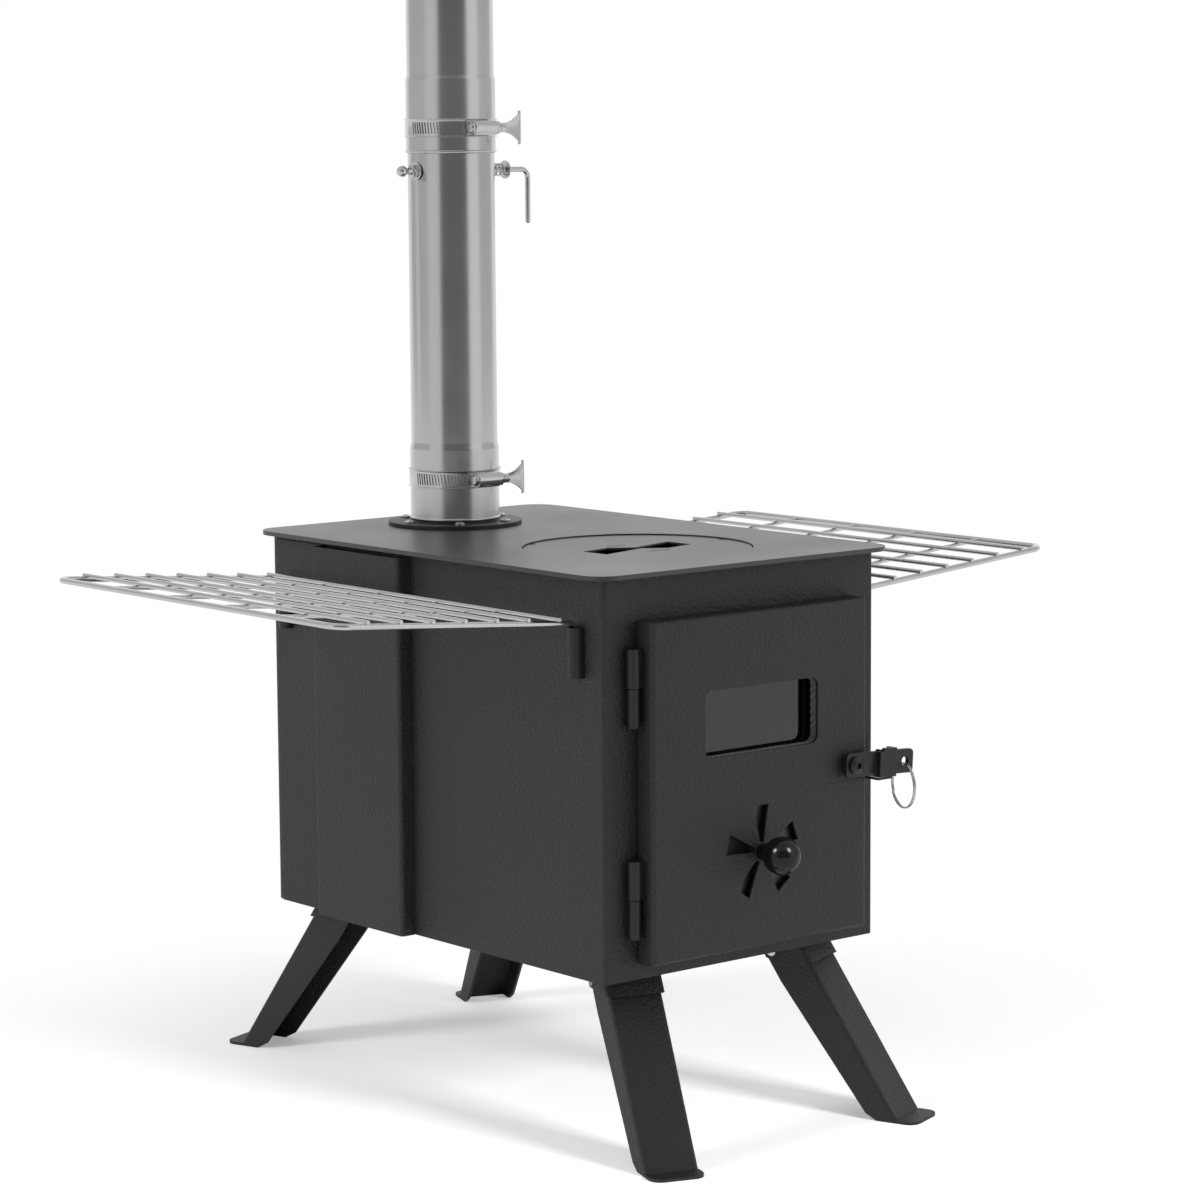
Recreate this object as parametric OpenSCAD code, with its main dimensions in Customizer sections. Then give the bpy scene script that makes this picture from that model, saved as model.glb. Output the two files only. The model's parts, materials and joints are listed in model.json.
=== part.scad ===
// Tent wood stove: a folded steel firebox on four folding legs, with a glazed
// door, a rotary air intake, lift-off wire shelves and a sectional chimney.
// X runs to the right, Y to the back and Z up, and the door faces -Y. The
// origin is on the ground under the middle of the firebox. Lengths are in mm.

/* [Firebox] */
// Width of the firebox
body_w = 232; // [215:1:270]
// Depth of the firebox, front to back
body_d = 360; // [345:1:420]
// Height of the firebox under its top plate
body_h = 257; // [250:1:300]
// Height of the firebox above the ground
stand_h = 114; // [100:1:130]
// Thickness of the firebox's sheet
sheet_t = 2; // [1.5:0.1:2.5]
// Outside radius of the two front corner bends
front_bend_r = 3; // [2.8:0.1:6]
// Outside radius of the two rear corner bends
rear_bend_r = 8; // [5:0.5:10]
// Width of the back panel's side flanges, from the rear face to the seam
rear_flange = 10; // [10:0.5:16]
// Corner radius of the doorway
doorway_r = 6; // [3:0.5:12]

/* [Top plate] */
// Width of the top plate
top_w = 255; // [250:1:300]
// Depth of the top plate
top_d = 374; // [365:1:400]
// Thickness of the top plate
top_t = 3; // [2:0.1:4]
// Corner radius of the top plate
top_r = 18; // [10:1:30]
// Overhang of the top plate in front of the firebox
top_front = 10; // [6:0.5:16]

/* [Cooking lid] */
// Radius of the lid
lid_r = 76; // [60:1:80]
// Distance from the firebox's front to the lid's middle
lid_back = 103; // [90:1:115]
// Gap between the lid and the top plate's hole
lid_gap = 0.4; // [0.2:0.1:1]
// Clearance under the lid
lid_lift_gap = 0.3; // [0.2:0.1:0.6]
// Depth of the lid's face below the face of the top plate
lid_drop = 0.9; // [0.2:0.1:1.3]
// Thickness of the seat ring under the lid
seat_t = 3; // [2:0.1:4]
// Width of the seat ring on each side of the hole's edge
seat_w = 8; // [5:0.5:12]
// Radius of each rim notch
lid_notch_r = 3.4; // [2:0.1:5]
// Width of the two thin slits in the lid
lid_slit_w = 1.6; // [1:0.1:3]

/* [Side casing] */
// Distance from the firebox's front to the casing's front return
casing_start = 198; // [170:1:220]
// Length of the casing's raised duct
casing_len = 97; // [80:1:110]
// Depth of the casing's raised duct
casing_depth = 11; // [8:0.5:11.4]
// Thickness of the casing's sheet
casing_t = 1; // [0.8:0.1:1.2]
// Outside radius of the casing's bends
casing_r = 3; // [2:0.1:5]
// Gap between the casing and the top plate
casing_gap = 3; // [1:0.5:6]

/* [Door] */
// Width of the door
door_w = 184.5; // [178:0.5:190]
// Height of the door
door_h = 218.5; // [205:0.5:225]
// Depth of the door's pan
door_depth = 15; // [14.5:0.1:18]
// Thickness of the door's sheet
door_t = 2; // [1.5:0.1:2]
// Outside radius of the door's folded edges
door_bend_r = 3; // [2.6:0.1:5]
// Height of the door's lower edge above the firebox's floor
door_lift = 10.5; // [8:0.5:14]
// How far the door's middle lies to the right of the firebox's
door_shift = 2.75; // [0:0.25:4]
// Gap between the closed door's rim and the firebox
door_gap = 1; // [0.5:0.1:1.2]
// How far the door covers the doorway's edges
door_lap = 7; // [5:0.5:10]

/* [Window] */
// Width of the window
window_w = 97; // [80:1:110]
// Height of the window
window_h = 43; // [35:1:50]
// Corner radius of the window
window_r = 5.5; // [4:0.5:8]
// Height of the window's middle above the door's middle
window_up = 40; // [38:0.5:46]
// Diameter of the rope gasket round the window
rope_d = 7.5; // [6:0.1:7.6]
// Thickness of the glass
glass_t = 3; // [2.5:0.1:3.2]
// Thickness of the glass retainer
retainer_t = 1.5; // [1:0.1:1.6]
// Width of the glass retainer's frame
retainer_w = 14; // [13:0.5:18]
// Radius of the retainer's screws
retainer_screw_r = 1.5; // [1.2:0.1:1.8]

/* [Hinges] */
// Distance from the door's edge to the hinge axis
hinge_reach = 6.5; // [6:0.1:8]
// Distance from the firebox's front to the hinge axis
hinge_out = 5; // [4.9:0.1:6]
// Radius of the door's knuckles
hinge_door_r = 4.5; // [4.2:0.1:4.7]
// Radius of the firebox's knuckles
hinge_body_r = 4; // [3.4:0.1:4.4]
// Radius of the hinge pins
hinge_pin_r = 2; // [1.5:0.1:2.4]
// Length of each knuckle
hinge_len = 25; // [20:1:28]
// Height of the lower hinge's joint above the door's lower edge
hinge_low = 42.5; // [36:0.5:50]
// Height of the upper hinge's joint above the door's lower edge
hinge_high = 177; // [165:0.5:182]

/* [Air intake] */
// How far the intake's middle lies below the door's middle
intake_down = 47.25; // [44:0.25:55]
// Number of air slots
slot_n = 5; // [4:1:6]
// Inner radius of the air slots
slot_r0 = 6.5; // [6.4:0.1:8]
// Outer radius of the air slots
slot_r1 = 30.5; // [26:0.5:32]
// Angle that each slot spans
slot_angle = 25; // [20:1:26]
// Angle of the first slot's middle, from the right
slot_first = 20.5; // [0:0.5:36]
// Radius of the intake's disc
disc_r = 35; // [34:0.5:38]
// Thickness of the intake's disc
disc_t = 1.5; // [1:0.1:2]
// Gap between the door's sheet and the disc
disc_gap = 3; // [2:0.1:3.5]
// Radius of the intake's spindle
spindle_r = 3; // [2.5:0.1:3.2]
// Radius of the ball knob
knob_r = 12.5; // [10:0.5:15]
// Distance from the door's face to the knob's middle
knob_out = 18.5; // [16:0.5:24]

/* [Latch] */
// Distance from the door's right edge to the latch bolt
latch_in = 16; // [14:0.5:18]
// Height of the latch bolt above the door's middle
latch_up = 1; // [-4:0.5:4]
// Height of the lever's arm
lever_h = 16; // [14:0.5:18]
// Thickness of the lever's strip
lever_t = 3; // [2.5:0.1:3.5]
// Length of the lever from its bolt to its tip
lever_len = 52.4; // [50:0.2:60]
// Angle that the lever droops at rest
lever_droop = 3; // [0:0.5:4]
// Start of the lever's bridge, from the bolt
bridge_start = 18; // [17:0.5:20]
// Length of the lever's bridge
bridge_len = 15; // [13:0.5:17]
// How far the bridge stands forward
bridge_rise = 4.6; // [3.5:0.1:6]
// Height of the bridge
bridge_h = 19.1; // [18.5:0.1:22]
// Radius of the latch bolt
bolt_r = 3; // [2.5:0.1:4]
// Radius of the latch bolt's head
bolt_head_r = 5.75; // [5.5:0.25:7]
// Outside radius of the pull ring
ring_r = 16; // [12:0.5:18]
// Radius of the pull ring's wire
ring_wire_r = 1.1; // [0.8:0.1:1.3]
// Turn of the pull ring about the vertical
ring_turn = 15; // [0:1:20]

/* [Shelves] */
// Distance from the firebox's front to the shelf's front wire
shelf_start = 23; // [18:0.5:30]
// Distance between the shelf's front and rear wires
shelf_len = 314; // [305:0.5:316]
// Reach of the shelf from its hooks to its outer wire
shelf_reach = 183.5; // [150:0.5:200]
// Height of the shelf's wires above the firebox's floor, at the hooks
shelf_z = 228; // [222:0.5:230]
// Upward tilt of the shelf
shelf_tilt = 4.6; // [0:0.1:6]
// Radius of the shelf's frame wire
frame_wire_r = 2; // [1.8:0.1:2.4]
// Radius of the shelf's long wires
long_wire_r = 1.5; // [1.2:0.1:2]
// Radius of the shelf's cross wires
cross_wire_r = 1.35; // [1:0.05:1.6]
// Number of long wires
long_wire_n = 7; // [5:1:8]
// Number of cross wires
cross_wire_n = 4; // [2:1:6]
// Spacing of the long wires
long_wire_pitch = 24.6; // [20:0.2:25]
// Length of the hooks in their sleeves
hook_len = 27; // [20:0.5:30]
// Length of each sleeve
sleeve_len = 32; // [25:0.5:40]
// Width of each sleeve
sleeve_w = 10; // [9.6:0.1:12]
// Thickness of each sleeve's wall
sleeve_t = 1.4; // [1:0.1:1.5]

/* [Legs] */
// Width of a leg's web
leg_w = 36.5; // [30:0.5:40]
// Depth of a leg's flanges
leg_flange = 26; // [24.5:0.5:27]
// Depth of each leg's flanges at the foot
leg_foot_flange = 17; // [14:0.5:20]
// Distance down each leg to where its flanges begin to narrow
leg_taper_start = 20; // [16:0.5:30]
// Thickness of a leg's sheet
leg_t = 2; // [1.5:0.1:2.5]
// Outside radius of a leg's bends
leg_bend_r = 3; // [2.6:0.1:4]
// Outward lean of the legs
leg_lean = 32.7; // [25:0.1:35]
// Turn of each leg's lean away from the firebox's depth
leg_turn = 19.8; // [10:0.1:30]
// Distance from the firebox's side to the middle of the leg's pin
leg_in_x = 44.1; // [40:0.1:48]
// Distance from the firebox's front or back to the middle of the leg's pin
leg_in_y = 37.3; // [35:0.1:44]
// Distance from the firebox's floor down to the leg's pin
leg_pin_drop = 8; // [7.8:0.1:8.5]
// Distance from the leg's outer face to its pin
leg_pin_in = 20; // [19.8:0.1:20.3]
// Radius of the leg's pin
leg_pin_r = 2.5; // [2:0.1:3]
// Length of the foot pad in front of the leg
pad_len = 13; // [8:0.5:18]
// Thickness of the foot pad
pad_t = 2; // [1.5:0.1:3]
// Corner radius of the foot pad
pad_r = 8; // [4:0.5:11]
// Height of each leg bracket
bracket_h = 13; // [12.5:0.5:18]
// Thickness of each leg bracket
bracket_t = 1.5; // [1:0.1:2]

/* [Chimney] */
// Distance from the firebox's front to the flue's axis
flue_back = 300; // [290:1:305]
// Outside radius of the chimney pipes
pipe_r = 30; // [28:0.5:32]
// Wall of the chimney pipes
pipe_t = 0.8; // [0.6:0.1:1.2]
// Length of each chimney pipe
pipe_len = 303; // [290:1:340]
// Length of each pipe's socket
socket_len = 50; // [44:1:56]
// Clearance of a pipe in a socket
socket_fit = 0.1; // [0.05:0.05:0.3]
// Height of the step above each socket
step_h = 3; // [2:0.5:6]
// Radius of the flue's flange
flange_r = 46.5; // [44:0.5:50]
// Thickness of the flue's flange
flange_t = 2.5; // [2:0.1:4]
// Height of the neck on the flange
neck_h = 1.2; // [0.8:0.1:3]
// Radius of the circle of flange screws
flange_bolt_r = 38.5; // [37.5:0.5:41]
// Number of flange screws
flange_screw_n = 6; // [4:1:8]
// Radius of the flange screws' heads
flange_head_r = 3.5; // [3:0.1:4]
// Radius of the flange screws' shanks
flange_screw_r = 2; // [1.5:0.1:2.5]

/* [Damper] */
// Distance from the upper end of its pipe down to the damper's axis
damper_down = 62; // [58:1:150]
// Radius of the damper's plate
damper_r = 27.5; // [24:0.5:27.5]
// Thickness of the damper's plate
damper_t = 1.5; // [1:0.1:2]
// Radius of the damper's rod
rod_r = 1.9; // [1.5:0.05:2]
// Distance from the flue's axis to the handle's upright part
handle_out = 67.5; // [58:0.5:75]
// Length of the handle's upright part, from the rod's axis
handle_len = 36; // [25:0.5:42]
// Bend radius of the handle
handle_bend = 6; // [4:0.5:8]
// Number of curls of the damper's spring
spring_curls = 4; // [3:1:5]
// Radius of the spring, to the middle of its wire
spring_r = 4; // [3.5:0.1:5]
// Radius of the spring's wire
spring_wire_r = 0.65; // [0.5:0.05:0.8]
// Length of the spring's helix
spring_len = 13.9; // [9:0.1:16]

/* [Spark arrestor] */
// Length of the spark arrestor
arrestor_len = 201; // [195:1:230]
// Number of rows of holes
hole_rows = 6; // [4:1:7]
// Number of holes round each row
hole_cols = 12; // [8:2:12]
// Distance between rows of holes
hole_pitch = 16.3; // [14:0.1:18]
// Radius of the holes
hole_r = 4.5; // [3:0.1:5]
// Distance from the top to the first row of holes
hole_top = 18; // [12:0.5:20]
// Height of the ears' middle above the arrestor's lower end
ear_up = 66; // [64:0.5:72]
// Height of each ear
ear_h = 19.4; // [16:0.2:22]
// Reach of each ear from the pipe
ear_len = 21.6; // [18:0.2:26]
// Radius of the hole in each ear
ear_hole_r = 3.8; // [2.5:0.1:5]
// Thickness of each ear
ear_t = 1.2; // [0.8:0.1:2]

/* [Clamps] */
// Width of the clamp bands
band_w = 12.5; // [10:0.5:14]
// Thickness of the clamp bands
band_t = 0.7; // [0.5:0.1:1]
// Height of the first clamp above its pipe's lower end
clamp_low = 29; // [20:1:34]
// Height of the other clamps above their pipes' lower ends
clamp_up = 17; // [12:1:30]
// Radius of the clamp screw's worm
worm_r = 3.9; // [3.5:0.1:4.2]
// Length of the clamp's housing
housing_len = 19; // [16:0.5:22]
// Wall of the clamp's housing
housing_t = 1.3; // [1:0.1:1.6]
// Width across the clamp's wing
wing_h = 23.5; // [20:0.5:25]
// Length of the clamp's wing
wing_len = 14.5; // [12:0.5:18]
// Thickness of the clamp's wing
wing_t = 1.6; // [1.2:0.1:2]

/* [Grate and ash tray] */
// Height of the grate's upper face above the firebox's floor
grate_z = 38; // [36:0.5:46]
// Thickness of the grate
grate_t = 3; // [2:0.1:4]
// Width of the grate's slots
grate_slot_w = 6; // [4:0.5:8]
// Width of the ledges under the grate
ledge_w = 12; // [9:0.5:15]
// Thickness of the ledges
ledge_t = 2; // [1.5:0.1:2.5]
// Width of the ash tray
tray_w = 164; // [140:1:166]
// Depth of the ash tray
tray_d = 335; // [300:1:336]
// Height of the ash tray's lips
tray_h = 22; // [16:0.5:23]
// Thickness of the ash tray's sheet
tray_t = 1.2; // [1:0.1:1.6]

/* [Hidden] */
$fn = 48;

// Overrun of every cut
over = 1;
// Radial clearance of a shaft or screw in its bore
fit = 0.05;
// Gap between pieces that move against each other
gap = 0.3;

// Finishes
coat = [0.16, 0.16, 0.17];
coat_dark = [0.10, 0.10, 0.11];
stainless = [0.76, 0.77, 0.78];
bright_steel = [0.68, 0.69, 0.70];
dark_steel = [0.30, 0.30, 0.31];
smoked_glass = [0.20, 0.17, 0.14, 0.6];
rope_grey = [0.42, 0.41, 0.39];
gloss_black = [0.03, 0.03, 0.03];

// Main planes of the firebox
front_y = -body_d / 2;
rear_y = body_d / 2;
side_x = body_w / 2;
roof_z = stand_h + body_h;
top_z = roof_z + top_t;
seam_y = rear_y - rear_flange;
flue_y = front_y + flue_back;

// The closed door and the doorway behind it
door_face_y = front_y - door_gap - door_depth;
door_mid_z = stand_h + door_lift + door_h / 2;
doorway_w = door_w - 2 * door_lap;
doorway_h = door_h - 2 * door_lap;

// The hinge axis
hinge_x = door_shift - door_w / 2 - hinge_reach;
hinge_y = front_y - hinge_out;
hinge_zs = [for (up = [hinge_low, hinge_high]) stand_h + door_lift + up];

// Distances behind the door's face
glass_front = door_t + rope_d;
glass_back = glass_front + glass_t;
retainer_back = glass_back + retainer_t;
retainer_nut_t = 1.2;
disc_front = door_t + disc_gap;
disc_back = disc_front + disc_t;

// The latch, in front of the door's face
spacer_t = 3.2;
lever_back = spacer_t + gap;
lever_front = lever_back + lever_t;
bolt_head_t = 3.4;
latch_x = door_shift + door_w / 2 - latch_in;
latch_z = door_mid_z + latch_up;

// The side casing's middle and its rear end
casing_mid_y = front_y + casing_start + casing_len / 2;
casing_end_y = front_y + casing_start + casing_len;

// Inside the door
window_z = door_mid_z + window_up;
intake_z = door_mid_z - intake_down;
glass_margin = 1;
glass_w = window_w + 2 * (rope_d + glass_margin);
glass_h = window_h + 2 * (rope_d + glass_margin);
retainer_screw_in = (rope_d + glass_margin + retainer_w) / 2;
slot_flare = tan(slot_angle / 2);
intake_nut_t = 2.5;
spindle_margin = 1;
spindle_collar_r = slot_r0 - spindle_margin;
knob_neck_r = 5.5;
hinge_cap = 3;

// The latch's lever, ring and keeper
lever_hole_r = 3;
lever_hole_in = 7.4;
lever_hole_x = lever_len - lever_hole_in;
lever_tip_r = 3;
bridge_top = 10.3;
bridge_chamfer = 4;
bolt_nut_t = 4;
bolt_dome_r = 10;
bolt_socket_share = 0.4;
ring_mean_r = ring_r - ring_wire_r;
ring_x = latch_x + lever_hole_x * cos(lever_droop);
ring_y = door_face_y - lever_back - lever_t / 2;
ring_pivot_z = latch_z - lever_hole_x * sin(lever_droop) - lever_hole_r + ring_wire_r + gap;
keeper_t = 1.5;
keeper_h = 18;
keeper_margin = 1;
keeper_w = bridge_len - 2 * keeper_margin;
keeper_reach = door_gap + door_depth + lever_back + bridge_rise;
keeper_x = latch_x + (bridge_start + bridge_len / 2) * cos(lever_droop);
keeper_top_z = latch_z - (bridge_h - bridge_top) * cos(lever_droop)
    - (bridge_start + bridge_len) * sin(lever_droop) - gap;

// The lid's cut-outs, as shares of its radius
lid_t = top_t - lid_lift_gap - lid_drop;
bow_tie_shares = [[-0.525, 0.106], [-0.505, -0.188], [0.005, -0.04], [0.005, 0.04], [-0.195, 0.18]];
slit_place_shares = [-0.032, 0.258];
slit_len_share = 0.2;
slit_angle = -4.8;

// The shelves' hooks, sleeves and wires
hook_room = 0.5;
hook_bend = 4;
sleeve_seat = casing_t + frame_wire_r + hook_room;
sleeve_z = stand_h + shelf_z - frame_wire_r - 2 * gap - sleeve_len;
shelf_corner_r = 11;
weld = 0.3;
long_wire_start = 9.5;
long_wire_z = cross_wire_r + long_wire_r - weld;

// The grate and the ash tray
grate_margin = 3;
grate_w = body_w - 2 * (sheet_t + grate_margin);
grate_d = body_d - 2 * (sheet_t + grate_margin);
grate_slot_n = 11;
ledge_len = grate_d;
tray_room = 2;
tray_y = rear_y - sheet_t - tray_room - tray_d;
tray_tab_w = 40;
tray_tab_len = 12;
tray_rivet_in = 7;
tray_rivet_r = 2.2;
tray_rivet_h = 1;
tray_rivet_shares = [0.3, 0.7];

// The chimney's sockets and the heights at which its pieces start
socket_in_r = pipe_r + socket_fit;
socket_out_r = socket_in_r + pipe_t;
pipe_z0 = top_z + flange_t + neck_h + gap;
pipe_z1 = pipe_z0 + pipe_len + gap - socket_len;
arrestor_z = pipe_z1 + pipe_len + gap - socket_len;
collar_t = 1.2;
collar_drop = 3;
flange_turn = -3;
flange_head_t = 2.2;
flange_dome_r = 5.7;
recess_shares = [1.2, 0.25];

// The damper
damper_z = pipe_z0 + pipe_len - damper_down;
washer_t = 1;
washer_r = 6.3;
washer_x = pipe_r + gap + spring_len + 4 * spring_wire_r + fit;
nut_t = 3.5;
nut_r = 4.8;
nut_neck = 7.5;
nut_neck_r = 2.8;
nut_dome_r = 3.9;
rod_start = pipe_r + washer_t + nut_t;

// The holes and ears of the spark arrestor
hole_sides = 24;
ear_turn = 254;
ear_angle = 33;
ear_rivet_angle = 19;
ear_rivet_r = 1.6;
ear_rivet_h = 0.8;
ear_rivet_share = 0.2;

// The clamps
band_out_r = socket_out_r + fit + band_t;
band_slot_n = 18;
band_slot_first = 250;
band_slot_step = 4.2;
band_slot_lean = 8;
band_slot_shares = [0.11, 0.64];
clamp_zs = [pipe_z0 + clamp_low, pipe_z1 + clamp_up, arrestor_z + clamp_up];
worm_lift = 0.8;
clamp_axis = band_out_r + worm_lift + worm_r;
housing_r = worm_r + fit + housing_t;
housing_foot = sqrt(band_out_r * band_out_r - housing_len * housing_len / 4);
screw_collar_t = 2.5;
screw_collar_r = 4.8;
screw_shank_r = 2.4;
wing_start = housing_len / 2 + 8.5;
wing_corner_r = 2.5;
wing_neck = 3.5;

// The legs, from the pin's middle
leg_drop = stand_h - leg_pin_drop;
foot_out_y = leg_pin_in / cos(leg_lean) + leg_drop * tan(leg_lean);
foot_in_y = (leg_pin_in - leg_foot_flange) / cos(leg_lean) + leg_drop * tan(leg_lean);
leg_taper = atan((leg_flange - leg_foot_flange) / (leg_drop / cos(leg_lean) - leg_taper_start));
leg_top_gap = 1;
heel_len = 5;
heel_rise = 28;
bracket_w = leg_w + 2 * (gap + bracket_t);
leg_pin_head_t = 1;
leg_pin_head_r = 3.3;

// Rounds a 2D rectangle's four corners with true arcs
module round_rect(w, d, r) {
    square([w - 2 * r, d], center = true);
    square([w, d - 2 * r], center = true);
    for (x = [-1, 1]) {
        for (y = [-1, 1]) {
            translate([x * (w / 2 - r), y * (d / 2 - r)]) circle(r);
        }
    }
}

// A 2D rectangle from y0 to y1 whose two corners at y0 are rounded
module front_round(w, y0, y1, r) {
    translate([-w / 2, y0 + r]) square([w, y1 - y0 - r]);
    translate([-w / 2 + r, y0]) square([w - 2 * r, y1 - y0]);
    for (x = [-1, 1]) {
        translate([x * (w / 2 - r), y0 + r]) intersection() {
            circle(r);
            translate([-2 * r, -2 * r]) square([4 * r, 2 * r]);
        }
    }
}

// A 2D slot with round ends along Y
module round_slot(w, len) {
    square([w, len - w], center = true);
    for (y = [-1, 1]) {
        translate([0, y * (len - w) / 2]) circle(w / 2);
    }
}

// A block whose front edges, at y = 0, are rounded
module pan_block(w, h, d, r) {
    intersection() {
        translate([0, 0, -h / 2]) linear_extrude(h) front_round(w, 0, d, r);
        translate([w / 2, 0, 0]) rotate([0, -90, 0]) linear_extrude(w) front_round(h, 0, d, r);
    }
}

// Stands a shape on the door's face: its x to the right, y up, z forward
module on_face(x, z) {
    translate([x, door_face_y, z]) rotate([90, 0, 0]) children();
}

// Repeats a shape on the right side and mirrored on the left
module both_sides() {
    children();
    mirror([1, 0, 0]) children();
}

// A quarter of a wire bend in the XY plane, from +X to +Y
module wire_bend(bend, r) {
    rotate_extrude(angle = 90) translate([bend, 0]) circle(r);
}

// A straight wire from the origin along +X
module wire(len, r) {
    rotate([0, 90, 0]) cylinder(r = r, h = len);
}

// The front, both sides and their bends, in one sheet
module firebox_wrap() {
    color(coat) difference() {
        translate([0, 0, stand_h]) linear_extrude(body_h) difference() {
            front_round(body_w, front_y, seam_y, front_bend_r);
            front_round(body_w - 2 * sheet_t, front_y + sheet_t, seam_y + over, front_bend_r - sheet_t);
        }
        translate([door_shift, front_y + sheet_t + over, door_mid_z]) rotate([90, 0, 0])
            linear_extrude(sheet_t + 2 * over) round_rect(doorway_w, doorway_h, doorway_r);
    }
}

// The back, with its bent corners and side flanges
module back_panel() {
    color(coat) translate([0, 0, stand_h]) linear_extrude(body_h) mirror([0, 1, 0]) difference() {
        front_round(body_w, -rear_y, -seam_y, rear_bend_r);
        front_round(body_w - 2 * sheet_t, sheet_t - rear_y, over - seam_y, rear_bend_r - sheet_t);
    }
}

module floor_plate() {
    color(coat) translate([0, 0, stand_h]) linear_extrude(sheet_t)
        round_rect(body_w - 2 * sheet_t, body_d - 2 * sheet_t, rear_bend_r - sheet_t);
}

// Repeats a shape at each flange screw, on the top plate's upper face
module flange_spots() {
    for (i = [0 : flange_screw_n - 1]) {
        translate([0, flue_y, top_z]) rotate([0, 0, flange_turn + i * 360 / flange_screw_n])
            translate([flange_bolt_r, 0, 0]) children();
    }
}

module top_plate() {
    color(coat) difference() {
        translate([0, front_y - top_front + top_d / 2, roof_z]) linear_extrude(top_t)
            round_rect(top_w, top_d, top_r);
        translate([0, front_y + lid_back, roof_z - over]) cylinder(r = lid_r + lid_gap, h = top_t + 2 * over);
        translate([0, flue_y, roof_z - over]) cylinder(r = pipe_r + fit, h = top_t + 2 * over);
        flange_spots() translate([0, 0, -top_t - over])
            cylinder(r = flange_screw_r + fit, h = top_t + 2 * over);
    }
}

// A raised air duct with a flat wing behind it, on the right side
module side_casing() {
    translate([side_x, 0, stand_h]) linear_extrude(body_h - casing_gap) {
        difference() {
            translate([0, casing_mid_y]) rotate(90) front_round(casing_len, -casing_depth, 0, casing_r);
            translate([0, casing_mid_y]) rotate(90)
                front_round(casing_len - 2 * casing_t, casing_t - casing_depth, over, casing_r - casing_t);
        }
        translate([0, casing_end_y - casing_t]) square([casing_t, seam_y - casing_end_y + casing_t]);
    }
}

module side_casing_left() {
    color(coat) mirror([1, 0, 0]) side_casing();
}

module side_casing_right() {
    color(coat) side_casing();
}

// A half-round tube whose flat side lies on the wall, or on a sheet of thickness base
module sleeve(base) {
    linear_extrude(sleeve_len) intersection() {
        translate([base, -sleeve_w]) square([sleeve_seat + sleeve_w, 2 * sleeve_w]);
        difference() {
            union() {
                translate([0, -sleeve_w / 2]) square([sleeve_seat, sleeve_w]);
                translate([sleeve_seat, 0]) circle(sleeve_w / 2);
            }
            translate([-over, sleeve_t - sleeve_w / 2]) square([sleeve_seat + over, sleeve_w - 2 * sleeve_t]);
            translate([sleeve_seat, 0]) circle(sleeve_w / 2 - sleeve_t);
        }
    }
}

module shelf_sleeves() {
    color(coat_dark) both_sides() translate([side_x, front_y + shelf_start, sleeve_z]) {
        sleeve(0);
        translate([0, shelf_len, 0]) sleeve(casing_t);
    }
}

// The hook at one end of the shelf, from its sleeve up to the grid's wire
module shelf_hook() {
    translate([0, 0, -hook_len]) cylinder(r = frame_wire_r, h = hook_len - hook_bend);
    translate([hook_bend, 0, -hook_bend]) rotate([90, 0, 0]) rotate([0, 0, 90])
        wire_bend(hook_bend, frame_wire_r);
    translate([hook_bend, 0, 0]) rotate([0, 0, 90]) sphere(frame_wire_r + gap);
}

// The shelf's grid, from its hooks outwards
module shelf_grid() {
    reach = shelf_reach - hook_bend;
    for (y = [0, shelf_len]) {
        translate([0, y, 0]) wire(reach - shelf_corner_r, frame_wire_r);
    }
    translate([reach - shelf_corner_r, shelf_corner_r, 0]) rotate([0, 0, -90])
        wire_bend(shelf_corner_r, frame_wire_r);
    translate([reach - shelf_corner_r, shelf_len - shelf_corner_r, 0])
        wire_bend(shelf_corner_r, frame_wire_r);
    translate([reach, shelf_corner_r, 0]) rotate([0, 0, 90])
        wire(shelf_len - 2 * shelf_corner_r, frame_wire_r);
    for (i = [1 : cross_wire_n]) {
        translate([long_wire_start - long_wire_r, i * shelf_len / (cross_wire_n + 1), 0])
            wire(reach - long_wire_start + long_wire_r, cross_wire_r);
    }
    for (i = [0 : long_wire_n - 1]) {
        translate([long_wire_start + i * long_wire_pitch, -long_wire_r, long_wire_z]) rotate([0, 0, 90])
            wire(shelf_len + 2 * long_wire_r, long_wire_r);
    }
}

module shelf() {
    translate([side_x + sleeve_seat, front_y + shelf_start, stand_h + shelf_z]) {
        for (y = [0, shelf_len]) {
            translate([0, y, 0]) shelf_hook();
        }
        translate([hook_bend, 0, 0]) rotate([0, -shelf_tilt, 0]) shelf_grid();
    }
}

module shelf_left() {
    color(bright_steel) mirror([1, 0, 0]) shelf();
}

module shelf_right() {
    color(bright_steel) shelf();
}

module grate_ledges() {
    color(dark_steel) both_sides() translate([side_x - sheet_t, 0, stand_h + grate_z - grate_t]) {
        translate([-ledge_w, -ledge_len / 2, -ledge_t]) cube([ledge_w, ledge_len, ledge_t]);
        translate([-ledge_t, -ledge_len / 2, -ledge_w]) cube([ledge_t, ledge_len, ledge_w]);
    }
}

module fire_grate() {
    color(dark_steel) translate([0, 0, stand_h + grate_z - grate_t]) linear_extrude(grate_t) difference() {
        round_rect(grate_w, grate_d, rear_bend_r);
        for (i = [0 : grate_slot_n - 1]) {
            for (y = [-1, 1]) {
                translate([(i - (grate_slot_n - 1) / 2) * grate_w / (grate_slot_n + 1), y * grate_d / 4])
                    round_slot(grate_slot_w, grate_d / 2 - 3 * grate_slot_w);
            }
        }
    }
}

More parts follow.
